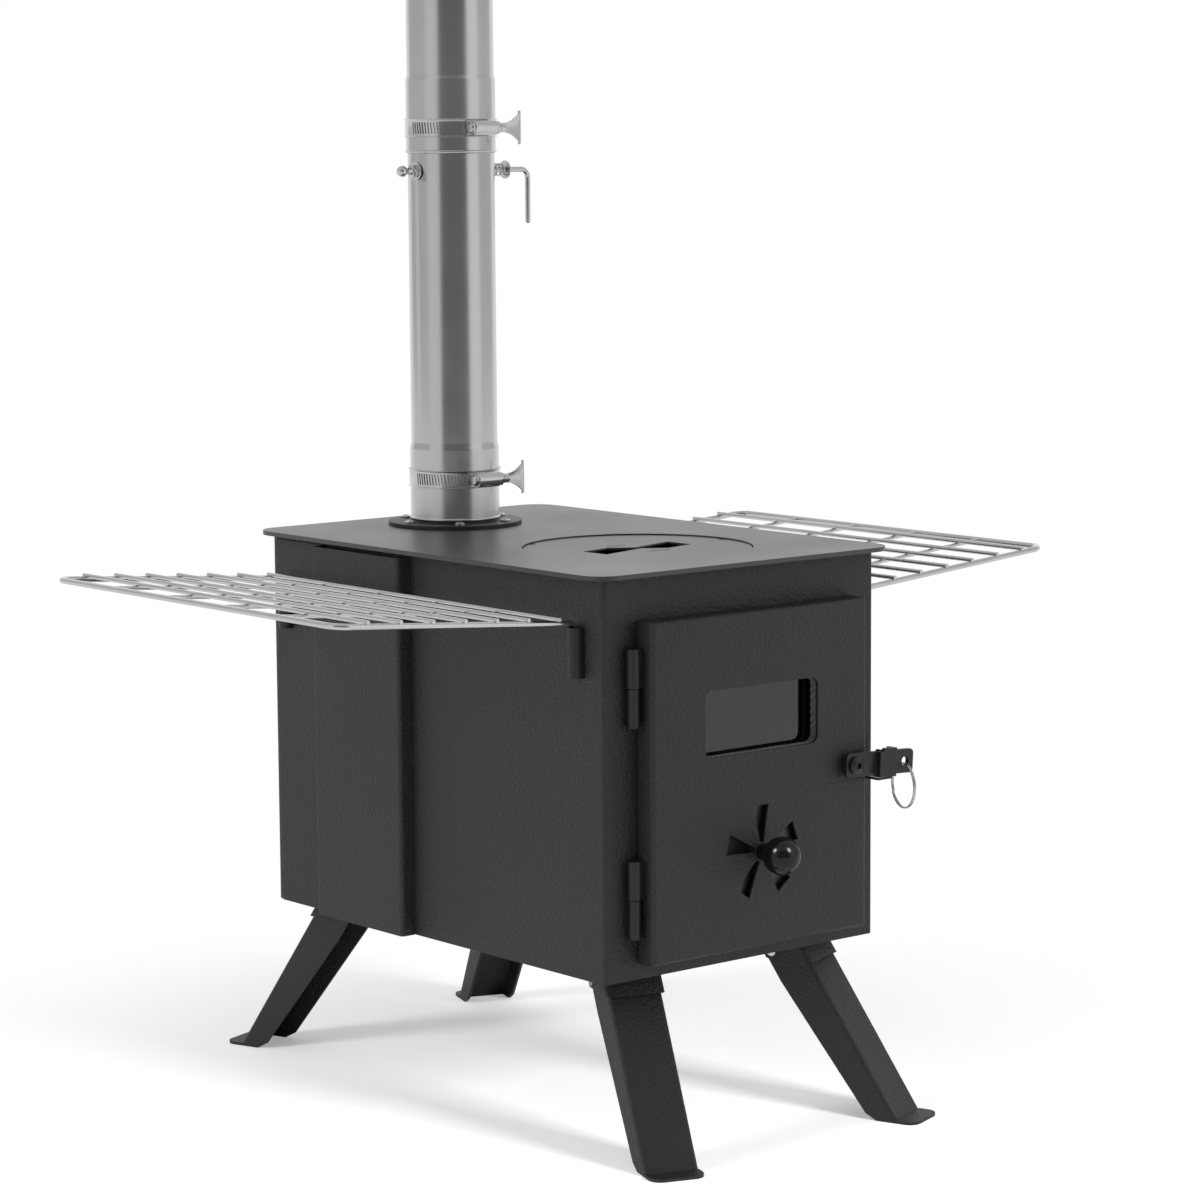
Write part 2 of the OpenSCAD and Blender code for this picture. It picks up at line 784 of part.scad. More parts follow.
module ash_tray() {
    color(coat) translate([0, tray_y, stand_h + sheet_t + gap]) {
        translate([-tray_w / 2, 0, 0]) cube([tray_w, tray_d, tray_t]);
        translate([-tray_w / 2, 0, 0]) cube([tray_w, tray_t, tray_h]);
        both_sides() translate([tray_w / 2 - tray_t, 0, 0]) rotate([90, 0, 90]) linear_extrude(tray_t)
            polygon([[0, 0], [tray_d, 0], [tray_d - tray_h / 2, tray_h], [0, tray_h]]);
        translate([0, 0, tray_h - tray_t]) linear_extrude(tray_t)
            front_round(tray_tab_w, -tray_tab_len, tray_t, tray_tab_len / 2);
    }
}

module ash_tray_rivets() {
    color(bright_steel) both_sides() {
        for (up = tray_rivet_shares) {
            translate([tray_w / 2 - tray_rivet_in, tray_y, stand_h + sheet_t + gap + up * tray_h])
                rotate([90, 0, 0]) cylinder(r = tray_rivet_r, h = tray_rivet_h);
        }
    }
}

// A hinge knuckle from z = 0 up, with a web that joins it to the sheet beside it
module knuckle(r, web_x, web_y) {
    difference() {
        union() {
            cylinder(r = r, h = hinge_len - gap / 2);
            translate([web_x > 0 ? 0 : -r / 2, web_x > 0 ? -r / 2 : 0, 0])
                cube([web_x > 0 ? web_x : r, web_x > 0 ? r : web_y, hinge_len - gap / 2]);
        }
        translate([0, 0, -over]) cylinder(r = hinge_pin_r + fit, h = hinge_len - hinge_cap + over);
    }
}

module hinge_body_knuckles() {
    color(coat_dark) for (z = hinge_zs) {
        translate([hinge_x, hinge_y, z - gap / 2]) mirror([0, 0, 1])
            knuckle(hinge_body_r, 0, hinge_out);
    }
}

module hinge_door_knuckles() {
    color(coat_dark) for (z = hinge_zs) {
        translate([hinge_x, hinge_y, z + gap / 2]) knuckle(hinge_door_r, hinge_reach, 0);
    }
}

module hinge_pins() {
    color(bright_steel) for (z = hinge_zs) {
        translate([hinge_x, hinge_y, z + gap - hinge_len + hinge_cap])
            cylinder(r = hinge_pin_r, h = 2 * (hinge_len - hinge_cap - gap));
    }
}

// The air slots, as seen from in front of the door
module air_slots(turn) {
    for (i = [0 : slot_n - 1]) {
        rotate(turn + i * 360 / slot_n) polygon([
            [slot_r0, -slot_r0 * slot_flare], [slot_r1, -slot_r1 * slot_flare],
            [slot_r1, slot_r1 * slot_flare], [slot_r0, slot_r0 * slot_flare]
        ]);
    }
}

module door_panel() {
    color(coat) difference() {
        translate([door_shift, door_face_y, door_mid_z]) difference() {
            pan_block(door_w, door_h, door_depth, door_bend_r);
            translate([0, door_t, 0])
                pan_block(door_w - 2 * door_t, door_h - 2 * door_t, door_depth, door_bend_r - door_t);
        }
        on_face(door_shift, window_z) translate([0, 0, -door_t - over])
            linear_extrude(door_t + 2 * over) round_rect(window_w, window_h, window_r);
        on_face(door_shift, intake_z) translate([0, 0, -door_t - over]) {
            linear_extrude(door_t + 2 * over) air_slots(slot_first);
            cylinder(r = spindle_r + fit, h = door_t + 2 * over);
        }
        on_face(latch_x, latch_z) translate([0, 0, -door_t - over])
            cylinder(r = bolt_r + fit, h = door_t + 2 * over);
    }
}

module window_glass() {
    color(smoked_glass) on_face(door_shift, window_z) translate([0, 0, -glass_back])
        linear_extrude(glass_t) round_rect(glass_w, glass_h, window_r);
}

// A closed ring of rope behind the window's edge
module window_gasket() {
    w = window_w + rope_d;
    h = window_h + rope_d;
    bend = window_r + rope_d / 2;
    r = rope_d / 2 - fit;
    color(rope_grey) on_face(door_shift, window_z) translate([0, 0, -door_t - rope_d / 2]) {
        for (s = [-1, 1]) {
            translate([s * w / 2, bend - h / 2, 0]) rotate([0, 0, 90]) wire(h - 2 * bend, r);
            translate([bend - w / 2, s * h / 2, 0]) wire(w - 2 * bend, r);
        }
        for (i = [0 : 3]) {
            rotate([0, 0, 90 * i])
                translate([(i % 2 == 0 ? w : h) / 2 - bend, (i % 2 == 0 ? h : w) / 2 - bend, 0])
                    wire_bend(bend, r);
        }
    }
}

// Repeats a shape at each retainer screw, on the inner face of the door's sheet
module retainer_spots() {
    for (x = [-1, 1]) {
        for (y = [-1, 1]) {
            translate([x * (window_w / 2 + retainer_screw_in), y * (window_h / 2 + retainer_screw_in)])
                translate([0, 0, -door_t]) children();
        }
    }
}

module glass_retainer() {
    color(dark_steel) on_face(door_shift, window_z) difference() {
        translate([0, 0, -retainer_back]) linear_extrude(retainer_t) difference() {
            round_rect(window_w + 2 * retainer_w, window_h + 2 * retainer_w, window_r);
            round_rect(window_w + 2 * glass_margin, window_h + 2 * glass_margin, window_r);
        }
        retainer_spots() translate([0, 0, -retainer_back])
            cylinder(r = retainer_screw_r + fit, h = retainer_back);
    }
}

module retainer_screws() {
    color(bright_steel) on_face(door_shift, window_z) retainer_spots() {
        stud = retainer_back - door_t + retainer_nut_t;
        translate([0, 0, -stud]) cylinder(r = retainer_screw_r, h = stud);
        translate([0, 0, -stud]) cylinder(r = 2 * retainer_screw_r, h = retainer_nut_t, $fn = 6);
    }
}

module intake_disc() {
    color(dark_steel) on_face(door_shift, intake_z) translate([0, 0, -disc_back]) linear_extrude(disc_t)
        difference() {
            circle(disc_r);
            air_slots(slot_first + 180 / slot_n);
            circle(spindle_r + fit);
        }
}

module intake_spindle() {
    color(bright_steel) on_face(door_shift, intake_z) {
        translate([0, 0, -disc_back - intake_nut_t])
            cylinder(r = spindle_r, h = disc_back + intake_nut_t + knob_out);
        translate([0, 0, -disc_front]) cylinder(r = spindle_collar_r, h = disc_gap - gap);
    }
}

module intake_nut() {
    color(bright_steel) on_face(door_shift, intake_z) translate([0, 0, -disc_back - intake_nut_t])
        difference() {
            cylinder(r = 2 * spindle_r, h = intake_nut_t, $fn = 6);
            translate([0, 0, -over]) cylinder(r = spindle_r + fit, h = intake_nut_t + 2 * over);
        }
}

module intake_knob() {
    color(gloss_black) on_face(door_shift, intake_z) difference() {
        union() {
            translate([0, 0, knob_out]) sphere(knob_r);
            translate([0, 0, gap]) cylinder(r = knob_neck_r, h = knob_out - gap);
        }
        translate([0, 0, -over]) cylinder(r = spindle_r + fit, h = knob_out + fit + over);
    }
}

// The lever's strip, seen from above: x along it and y forward
module lever_bends() {
    bridge_end = bridge_start + bridge_len;
    polygon([
        [-lever_h, 0], [bridge_start + lever_t, 0],
        [bridge_start + lever_t, bridge_rise], [bridge_end - lever_t, bridge_rise],
        [bridge_end - lever_t, 0], [lever_len, 0],
        [lever_len, lever_t], [bridge_end, lever_t],
        [bridge_end, lever_t + bridge_rise], [bridge_start, lever_t + bridge_rise],
        [bridge_start, lever_t], [-lever_h, lever_t]
    ]);
}

// The lever, seen from in front
module lever_outline() {
    translate([(lever_len - lever_h / 2) / 2, 0]) round_rect(lever_len + lever_h / 2, lever_h, lever_tip_r);
    translate([bridge_start, bridge_top - bridge_h]) polygon([
        [0, 0], [bridge_len, 0], [bridge_len, bridge_h],
        [bridge_chamfer, bridge_h], [0, bridge_h - bridge_chamfer]
    ]);
}

module latch_lever() {
    color(coat_dark) on_face(latch_x, latch_z) rotate([0, 0, -lever_droop]) translate([0, 0, lever_back])
        difference() {
            intersection() {
                linear_extrude(lever_t + bridge_rise) lever_outline();
                rotate([90, 0, 0]) linear_extrude(2 * bridge_h, center = true) lever_bends();
            }
            translate([0, 0, -over]) cylinder(r = bolt_r + fit, h = lever_t + 2 * over);
            translate([lever_hole_x, 0, -over]) cylinder(r = lever_hole_r, h = lever_t + 2 * over);
        }
}

module latch_spacer() {
    color(coat_dark) on_face(latch_x, latch_z) difference() {
        cylinder(r = bolt_head_r, h = spacer_t);
        translate([0, 0, -over]) cylinder(r = bolt_r + fit, h = spacer_t + 2 * over);
    }
}

// A button-head bolt with a hexagon socket, and the nut behind the sheet
module latch_bolt() {
    color(coat_dark) on_face(latch_x, latch_z) {
        difference() {
            union() {
                translate([0, 0, -door_t - bolt_nut_t])
                    cylinder(r = bolt_r, h = door_t + bolt_nut_t + lever_front + gap);
                translate([0, 0, lever_front + gap]) intersection() {
                    cylinder(r = bolt_head_r, h = bolt_head_t);
                    translate([0, 0, bolt_head_t - bolt_dome_r]) sphere(bolt_dome_r);
                }
            }
            translate([0, 0, lever_front + gap + bolt_head_t / 3])
                cylinder(r = bolt_socket_share * bolt_head_r, h = bolt_head_t, $fn = 6);
        }
        translate([0, 0, -door_t - bolt_nut_t]) difference() {
            cylinder(r = 2 * bolt_r, h = bolt_nut_t, $fn = 6);
            translate([0, 0, -over]) cylinder(r = bolt_r + fit, h = bolt_nut_t + 2 * over);
        }
    }
}

module latch_ring() {
    color(bright_steel) translate([ring_x, ring_y, ring_pivot_z - ring_mean_r]) rotate([0, 90, -ring_turn])
        rotate_extrude() translate([ring_mean_r, 0]) circle(ring_wire_r);
}

// An angle bracket on the firebox's front, just under the lever's bridge
module latch_keeper() {
    color(coat_dark) translate([keeper_x - keeper_w / 2, front_y, keeper_top_z]) rotate([90, 0, 90])
        linear_extrude(keeper_w) {
            translate([-keeper_reach, -keeper_t]) square([keeper_reach, keeper_t]);
            translate([-keeper_t, -keeper_h]) square([keeper_t, keeper_h]);
        }
}

module cooking_lid() {
    color(coat) translate([0, front_y + lid_back, roof_z + lid_lift_gap]) linear_extrude(lid_t) difference() {
        circle(lid_r);
        for (i = [0 : 2]) {
            rotate(120 * i) translate([lid_r, 0]) circle(lid_notch_r);
        }
        for (turn = [0, 180]) {
            rotate(turn) {
                polygon(lid_r * bow_tie_shares);
                translate(lid_r * slit_place_shares) rotate(slit_angle)
                    square([lid_r * slit_len_share, lid_slit_w], center = true);
            }
        }
    }
}

module lid_seat() {
    color(coat) translate([0, front_y + lid_back, roof_z - seat_t]) difference() {
        cylinder(r = lid_r + lid_gap + seat_w, h = seat_t);
        translate([0, 0, -over]) cylinder(r = lid_r - seat_w, h = seat_t + 2 * over);
    }
}

module flue_flange() {
    color(coat_dark) difference() {
        translate([0, flue_y, top_z]) {
            cylinder(r = flange_r, h = flange_t);
            cylinder(r = socket_out_r, h = flange_t + neck_h);
        }
        translate([0, flue_y, top_z - over]) cylinder(r = pipe_r + fit, h = flange_t + neck_h + 2 * over);
        flange_spots() translate([0, 0, -over]) cylinder(r = flange_screw_r + fit, h = flange_t + 2 * over);
    }
}

module flue_collar() {
    color(coat_dark) translate([0, flue_y, roof_z - collar_drop]) difference() {
        cylinder(r = pipe_r, h = pipe_z0 + socket_len - gap - roof_z + collar_drop);
        translate([0, 0, -over])
            cylinder(r = pipe_r - collar_t, h = pipe_z0 + socket_len - roof_z + collar_drop + over);
    }
}

// Pan-head screws with a cross recess
module flange_screws() {
    color(bright_steel) flange_spots() difference() {
        union() {
            translate([0, 0, -top_t]) cylinder(r = flange_screw_r, h = top_t + flange_t);
            translate([0, 0, flange_t]) intersection() {
                cylinder(r = flange_head_r, h = flange_head_t);
                translate([0, 0, flange_head_t - flange_dome_r]) sphere(flange_dome_r);
            }
        }
        for (turn = [0, 90]) {
            translate([0, 0, flange_t + flange_head_t]) rotate([0, 0, turn])
                cube([recess_shares[0] * flange_head_r, recess_shares[1] * flange_head_r, flange_head_t],
                    center = true);
        }
    }
}

// A chimney pipe whose lower end is widened into a socket
module pipe(len) {
    rotate_extrude() polygon([
        [socket_in_r, 0], [socket_out_r, 0],
        [socket_out_r, socket_len], [pipe_r, socket_len + step_h],
        [pipe_r, len], [pipe_r - pipe_t, len],
        [pipe_r - pipe_t, socket_len + step_h], [socket_in_r, socket_len]
    ]);
}

module damper_pipe() {
    color(stainless) translate([0, flue_y, pipe_z0]) difference() {
        pipe(pipe_len);
        translate([-pipe_r - over, 0, pipe_len - damper_down]) wire(2 * (pipe_r + over), rod_r + fit);
    }
}

module chimney_pipe() {
    color(stainless) translate([0, flue_y, pipe_z1]) pipe(pipe_len);
}

// The plate lies along the back of the rod, and stands upright when the damper is open
module damper_plate() {
    color(dark_steel) translate([0, flue_y + rod_r + fit + damper_t, damper_z]) rotate([90, 0, 0])
        cylinder(r = damper_r, h = damper_t);
}

module damper_rod() {
    color(bright_steel) translate([0, flue_y, damper_z]) {
        translate([-rod_start, 0, 0]) wire(rod_start + handle_out - handle_bend, rod_r);
        translate([handle_out - handle_bend, 0, -handle_bend]) rotate([90, 0, 0])
            wire_bend(handle_bend, rod_r);
        translate([handle_out, 0, -handle_len]) cylinder(r = rod_r, h = handle_len - handle_bend);
        translate([handle_out, 0, -handle_len]) sphere(rod_r);
    }
}

// The spring's middle line about the X axis: a straight start, the curls and a straight end
spring_path = concat(
    [[0, spring_r, 0]],
    [for (i = [0 : 8 * spring_curls]) [
        2 * spring_wire_r + spring_len * i / (8 * spring_curls),
        spring_r * cos(45 * i),
        spring_r * sin(45 * i)
    ]],
    [[4 * spring_wire_r + spring_len, spring_r, 0]]
);
spring_last = len(spring_path) - 1;

// The direction of the spring's line at point i
function spring_run(i) =
    let (d = spring_path[min(i + 1, spring_last)] - spring_path[max(i - 1, 0)]) d / norm(d);

// The six points of the spring's wire round point i
function spring_ring(i) =
    let (p = spring_path[i])
    let (t = spring_run(i))
    let (away = [0, p[1], p[2]] / spring_r)
    let (n0 = away - (away * t) * t)
    let (n = n0 / norm(n0))
    let (b = cross(t, n))
    [for (k = [0 : 5]) p + spring_wire_r * (cos(60 * k) * n + sin(60 * k) * b)];

spring_points = [for (i = [0 : spring_last]) each spring_ring(i)];
spring_faces = concat(
    [for (k = [1 : 4]) [0, k, k + 1]],
    [for (k = [1 : 4]) [6 * spring_last, 6 * spring_last + k + 1, 6 * spring_last + k]],
    [for (i = [0 : spring_last - 1]) for (k = [0 : 5]) [6 * i + k, 6 * i + 6 + k, 6 * i + (k + 1) % 6]],
    [for (i = [0 : spring_last - 1]) for (k = [0 : 5])
        [6 * i + (k + 1) % 6, 6 * i + 6 + k, 6 * i + 6 + (k + 1) % 6]]
);
// The least gap from one curl to another, measured on the wire's points
spring_gap = min([for (i = [0 : spring_last - 5]) for (j = [i + 5 : spring_last])
    for (k = [0 : 5]) for (m = [0 : 5]) norm(spring_points[6 * i + k] - spring_points[6 * j + m])]);
echo(spring_gap = spring_gap);

module damper_spring() {
    color(bright_steel) translate([pipe_r + gap, flue_y, damper_z])
        polyhedron(points = spring_points, faces = spring_faces);
}

module damper_washers() {
    color(bright_steel) translate([0, flue_y, damper_z]) {
        translate([washer_x, 0, 0]) rotate([0, 90, 0]) difference() {
            cylinder(r = washer_r, h = washer_t);
            translate([0, 0, -over]) cylinder(r = rod_r + fit, h = washer_t + 2 * over);
        }
        translate([-pipe_r - gap - washer_t, 0, 0]) rotate([0, 90, 0]) difference() {
            cylinder(r = washer_r, h = washer_t);
            translate([0, 0, -over]) cylinder(r = rod_r + fit, h = washer_t + 2 * over);
        }
    }
}

// A nut with a round knob on the rod's left end
module damper_nut() {
    color(bright_steel) translate([-pipe_r - gap - washer_t, flue_y, damper_z]) rotate([0, -90, 0])
        difference() {
            union() {
                cylinder(r = nut_r, h = nut_t, $fn = 6);
                cylinder(r = nut_neck_r, h = nut_t + nut_neck);
                translate([0, 0, nut_t + nut_neck]) sphere(nut_dome_r);
            }
            translate([0, 0, -over]) cylinder(r = rod_r + fit, h = nut_t + over);
        }
}

// Rows of round holes above a plain socket, open at the top
module spark_arrestor() {
    color(stainless) translate([0, flue_y, arrestor_z]) difference() {
        pipe(arrestor_len);
        for (row = [0 : hole_rows - 1]) {
            for (col = [0 : hole_cols - 1]) {
                translate([0, 0, arrestor_len - hole_top - row * hole_pitch])
                    rotate([0, 0, (col + 0.5) * 360 / hole_cols])
                        translate([pipe_r - pipe_t - over, 0, 0])
                            wire(pipe_t + 2 * over, hole_r, $fn = hole_sides);
            }
        }
    }
}

// Repeats a shape at each guy-line ear
module ear_spots() {
    for (i = [0 : 2]) {
        translate([0, flue_y, arrestor_z + ear_up]) rotate([0, 0, ear_turn + 120 * i]) children();
    }
}

module arrestor_ears() {
    color(bright_steel) ear_spots() {
        translate([0, 0, -ear_h / 2]) rotate_extrude(angle = ear_angle)
            translate([pipe_r + fit, 0]) square([ear_t, ear_h]);
        rotate([90, 0, 0]) translate([0, 0, -ear_t]) linear_extrude(ear_t) difference() {
            union() {
                translate([pipe_r + 2 * fit, -ear_h / 2]) square([ear_len - ear_h / 2, ear_h]);
                translate([pipe_r + ear_len - ear_h / 2, 0]) circle(ear_h / 2);
            }
            translate([pipe_r + ear_len - ear_h / 2, 0]) circle(ear_hole_r);
        }
    }
}

module arrestor_rivets() {
    color(dark_steel) ear_spots() {
        for (z = [-1, 1]) {
            rotate([0, 0, ear_rivet_angle]) translate([pipe_r + fit + ear_t, 0, z * ear_rivet_share * ear_h])
                wire(ear_rivet_h, ear_rivet_r);
        }
    }
}

module clamp_band(i) {
    color(bright_steel) translate([0, flue_y, clamp_zs[i]]) difference() {
        cylinder(r = band_out_r, h = band_w, center = true);
        cylinder(r = band_out_r - band_t, h = band_w + 2 * over, center = true);
        for (n = [0 : band_slot_n - 1]) {
            rotate([0, 0, band_slot_first - n * band_slot_step]) translate([band_out_r, 0, 0])
                rotate([band_slot_lean, 0, 0]) scale([4 * band_t, band_w, band_w])
                    cube([1, band_slot_shares[0], band_slot_shares[1]], center = true);
        }
    }
}

// A saddle over the band, bored for the screw
module clamp_housing(i) {
    color(bright_steel) translate([0, flue_y, clamp_zs[i]]) difference() {
        union() {
            translate([-housing_len / 2, -clamp_axis, 0]) wire(housing_len, housing_r);
            translate([-housing_len / 2, -clamp_axis, -housing_r])
                cube([housing_len, clamp_axis - housing_foot, 2 * housing_r]);
        }
        cylinder(r = band_out_r + fit, h = 4 * housing_r, center = true);
        translate([-housing_len / 2 - over, -clamp_axis, 0]) wire(housing_len + 2 * over, worm_r + fit);
    }
}

module clamp_screw(i) {
    color(bright_steel) translate([0, flue_y - clamp_axis, clamp_zs[i]]) {
        translate([-housing_len / 2, 0, 0]) wire(housing_len + gap, worm_r);
        translate([housing_len / 2 + gap, 0, 0]) wire(screw_collar_t, screw_collar_r);
        translate([housing_len / 2, 0, 0]) wire(wing_start - housing_len / 2 + wing_t, screw_shank_r);
        rotate([90, 0, 0]) linear_extrude(wing_t, center = true) difference() {
            translate([wing_start + wing_len / 2, 0]) round_rect(wing_len, wing_h, wing_corner_r);
            for (s = [-1, 1]) {
                translate([wing_start, s * wing_h / 2]) circle(wing_h / 2 - wing_neck);
            }
        }
    }
}

// Moves a shape from a rear right leg's pin to the leg at the side sx and end sy
module at_leg(sx, sy) {
    mirror([sx < 0 ? 1 : 0, 0, 0]) mirror([0, sy < 0 ? 1 : 0, 0])
        translate([side_x - leg_in_x, rear_y - leg_in_y, stand_h - leg_pin_drop]) rotate([0, 0, -leg_turn])
            children();
}

// A channel along Z that is open towards -Y, with its outer face at y = out
module channel(w, out, depth, t, r, low, high) {
    translate([0, 0, low]) linear_extrude(high - low) rotate(180) difference() {
        front_round(w, -out, depth - out, r);
        front_round(w - 2 * t, t - out, depth - out + over, r - t);
    }
}

// A folding leg: a channel whose web lies outwards, with ears round its pin and a foot pad
module leg(sx, sy) {
    color(coat) at_leg(sx, sy) difference() {
        union() {
            intersection() {
                rotate([leg_lean, 0, 0]) difference() {
                    union() {
                        channel(leg_w, leg_pin_in, leg_flange, leg_t, leg_bend_r, -2 * leg_drop, 0);
                        for (s = [-1, 1]) {
                            translate([s * (leg_w - leg_t) / 2, 0, 0]) rotate([0, 90, 0])
                                cylinder(r = leg_flange - leg_pin_in, h = leg_t, center = true);
                        }
                    }
                    translate([0, leg_pin_in - leg_flange, -leg_taper_start]) rotate([leg_taper, 0, 0])
                        translate([-leg_w, -leg_drop, -3 * leg_drop])
                            cube([2 * leg_w, leg_drop, 3 * leg_drop]);
                }
                translate([-leg_w, -leg_drop, -leg_drop])
                    cube([2 * leg_w, 3 * leg_drop, stand_h - leg_top_gap]);
            }
            translate([0, 0, -leg_drop]) linear_extrude(pad_t) rotate(180)
                front_round(leg_w, -(foot_out_y + pad_len), leg_t - foot_out_y, pad_r);
        }
        rotate([0, 90, 0]) cylinder(r = leg_pin_r + fit, h = 2 * leg_w, center = true);
        translate([0, foot_in_y + heel_len, -leg_drop]) rotate([-heel_rise, 0, 0])
            translate([-leg_w, -leg_drop, -leg_drop]) cube([2 * leg_w, leg_drop, leg_drop]);
    }
}

module leg_front_left() {
    leg(-1, -1);
}

module leg_front_right() {
    leg(1, -1);
}

module leg_rear_left() {
    leg(-1, 1);
}

module leg_rear_right() {
    leg(1, 1);
}

// Repeats a shape at all four legs
module four_legs() {
    for (sx = [-1, 1]) {
        for (sy = [-1, 1]) {
            at_leg(sx, sy) children();
        }
    }
}

// Short channels under the floor that the legs lean against
module leg_brackets() {
    color(coat) four_legs() difference() {
        intersection() {
            rotate([leg_lean, 0, 0])
                channel(bracket_w, leg_pin_in + gap + bracket_t, leg_flange + gap + bracket_t, bracket_t,
                    leg_bend_r, -3 * bracket_h, 3 * bracket_h);
            translate([-bracket_w, -leg_flange * 2, leg_pin_drop - bracket_h])
                cube([2 * bracket_w, 4 * leg_flange, bracket_h]);
        }
        rotate([0, 90, 0]) cylinder(r = leg_pin_r + fit, h = 2 * bracket_w, center = true);
    }
}

module leg_pins() {
    color(bright_steel) four_legs() {
        rotate([0, 90, 0]) cylinder(r = leg_pin_r, h = bracket_w + 2 * fit, center = true);
        for (s = [-1, 1]) {
            translate([s * (bracket_w / 2 + fit + leg_pin_head_t / 2), 0, 0]) rotate([0, 90, 0])
                cylinder(r = leg_pin_head_r, h = leg_pin_head_t, center = true);
        }
    }
}

firebox_wrap();
back_panel();
floor_plate();
top_plate();
side_casing_left();
side_casing_right();
shelf_sleeves();
grate_ledges();
fire_grate();
ash_tray();
ash_tray_rivets();
shelf_left();
shelf_right();
hinge_body_knuckles();
hinge_pins();
hinge_door_knuckles();
door_panel();
window_glass();
window_gasket();
glass_retainer();
retainer_screws();
intake_disc();
intake_spindle();
intake_nut();
intake_knob();
latch_lever();
latch_bolt();
latch_spacer();
latch_ring();
latch_keeper();
cooking_lid();
lid_seat();
flue_flange();
flue_collar();
flange_screws();
damper_pipe();
damper_plate();
damper_rod();
damper_spring();
damper_washers();
damper_nut();
chimney_pipe();
spark_arrestor();
arrestor_ears();
arrestor_rivets();
clamp_band(0);  // clamp_band_1
clamp_band(1);  // clamp_band_2
clamp_band(2);  // clamp_band_3
clamp_housing(0);  // clamp_housing_1
clamp_housing(1);  // clamp_housing_2
clamp_housing(2);  // clamp_housing_3
clamp_screw(0);  // clamp_screw_1
clamp_screw(1);  // clamp_screw_2
clamp_screw(2);  // clamp_screw_3
leg_brackets();
leg_pins();
leg_front_left();
leg_front_right();
leg_rear_left();
leg_rear_right();
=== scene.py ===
# %% [markdown]
# # Tent wood stove
# A small stove of folded steel sheet on four folding legs, with a glazed door and a chimney of
# push-together pipes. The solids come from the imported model, in metres and already in place. This
# lesson gives them soft edges, makes the round and twisted pieces anew, and paints everything with
# procedural finishes. Z is up, the door faces -Y, and the origin is on the ground under the firebox.

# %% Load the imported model
import json
from math import cos, pi, radians, sin

import bmesh
import bpy
from mathutils import Matrix, Vector

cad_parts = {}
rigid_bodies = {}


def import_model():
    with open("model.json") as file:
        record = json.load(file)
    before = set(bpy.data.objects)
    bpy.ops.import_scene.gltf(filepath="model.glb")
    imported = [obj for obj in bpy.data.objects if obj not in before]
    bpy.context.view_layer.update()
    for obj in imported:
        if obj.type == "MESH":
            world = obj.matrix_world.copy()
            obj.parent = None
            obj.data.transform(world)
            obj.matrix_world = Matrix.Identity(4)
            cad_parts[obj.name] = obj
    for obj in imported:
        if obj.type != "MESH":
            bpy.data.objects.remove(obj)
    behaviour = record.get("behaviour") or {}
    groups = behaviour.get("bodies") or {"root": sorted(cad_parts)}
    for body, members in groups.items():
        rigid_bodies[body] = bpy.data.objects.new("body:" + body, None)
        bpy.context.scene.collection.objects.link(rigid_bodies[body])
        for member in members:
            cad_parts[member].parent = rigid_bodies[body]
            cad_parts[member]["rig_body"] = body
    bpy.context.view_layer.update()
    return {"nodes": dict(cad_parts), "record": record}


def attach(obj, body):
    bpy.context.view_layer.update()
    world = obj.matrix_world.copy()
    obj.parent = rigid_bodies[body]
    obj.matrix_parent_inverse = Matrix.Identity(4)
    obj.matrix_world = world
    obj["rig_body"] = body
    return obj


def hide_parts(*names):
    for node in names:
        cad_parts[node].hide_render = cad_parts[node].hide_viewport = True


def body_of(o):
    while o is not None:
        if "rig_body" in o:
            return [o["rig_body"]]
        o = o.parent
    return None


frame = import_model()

mm = 0.001
slot_of = {part["node"]: part["material_slot"] for part in frame["record"]["subparts"]}
print("solids in the packed model:", len(frame["nodes"]))

# %% [markdown]
# ## Camera
# The photograph was taken with a long lens from a little above the stove, well to the left of its
# front. The camera is placed from a fit of the firebox's corners. Its rear points away from the
# stove, so the three directions are worked out from the rear one, then rolled by a very small angle.
# A new object is only seen once it is linked to a collection, so a small helper does both.

# %% Place the camera
def add_object(name, data):
    """A new object of the scene that shows the data."""
    added = bpy.data.objects.new(name, data)
    bpy.context.collection.objects.link(added)
    return added


look_turn, look_height, roll = radians(-39.73), radians(7.40), -0.0068
camera_place, focal_length, sensor_width = (-1.5762, -1.9343, 0.6549), 111.53, 36
rear = Vector((sin(look_turn) * cos(look_height), -cos(look_turn) * cos(look_height), sin(look_height)))
right = Vector((cos(look_turn), sin(look_turn), 0))
upward = rear.cross(right)
camera = add_object("camera", bpy.data.cameras.new("camera"))
camera.data.sensor_width = sensor_width
camera.data.lens = focal_length
axes = (right * cos(roll) + upward * sin(roll), upward * cos(roll) - right * sin(roll), rear)
camera.matrix_world = Matrix.Translation(camera_place) @ Matrix(axes).transposed().to_4x4()
bpy.context.scene.camera = camera
print("camera at", [round(value, 3) for value in camera.location])

# %% [markdown]
# ## Building shader groups
# An effect that several finishes share is a node group, made once and placed with its own values.
# This helper makes an empty group with named sockets, so that each group below is only its few
# nodes. Every group reads Object coordinates, which are metres on these pieces, so the size of a
# grain is a real size.

# %% Helpers for shader groups
def start_group(name, inputs, outputs):
    """An empty shader group with its sockets, and its input and output nodes."""
    group = bpy.data.node_groups.new(name, "ShaderNodeTree")
    for label, value in inputs.items():
        group.interface.new_socket(label, in_out="INPUT", socket_type="NodeSocketFloat").default_value = value
    for label in outputs:
        group.interface.new_socket(label, in_out="OUTPUT", socket_type="NodeSocketFloat")
    return group, group.nodes.new("NodeGroupInput"), group.nodes.new("NodeGroupOutput")


def place_group(tree, group, **values):
    """The group as a node of a material, with its own values."""
    node = tree.nodes.new("ShaderNodeGroup")
    node.node_tree = group
    for label, value in values.items():
        node.inputs[label.replace("_", " ")].default_value = value
    return node


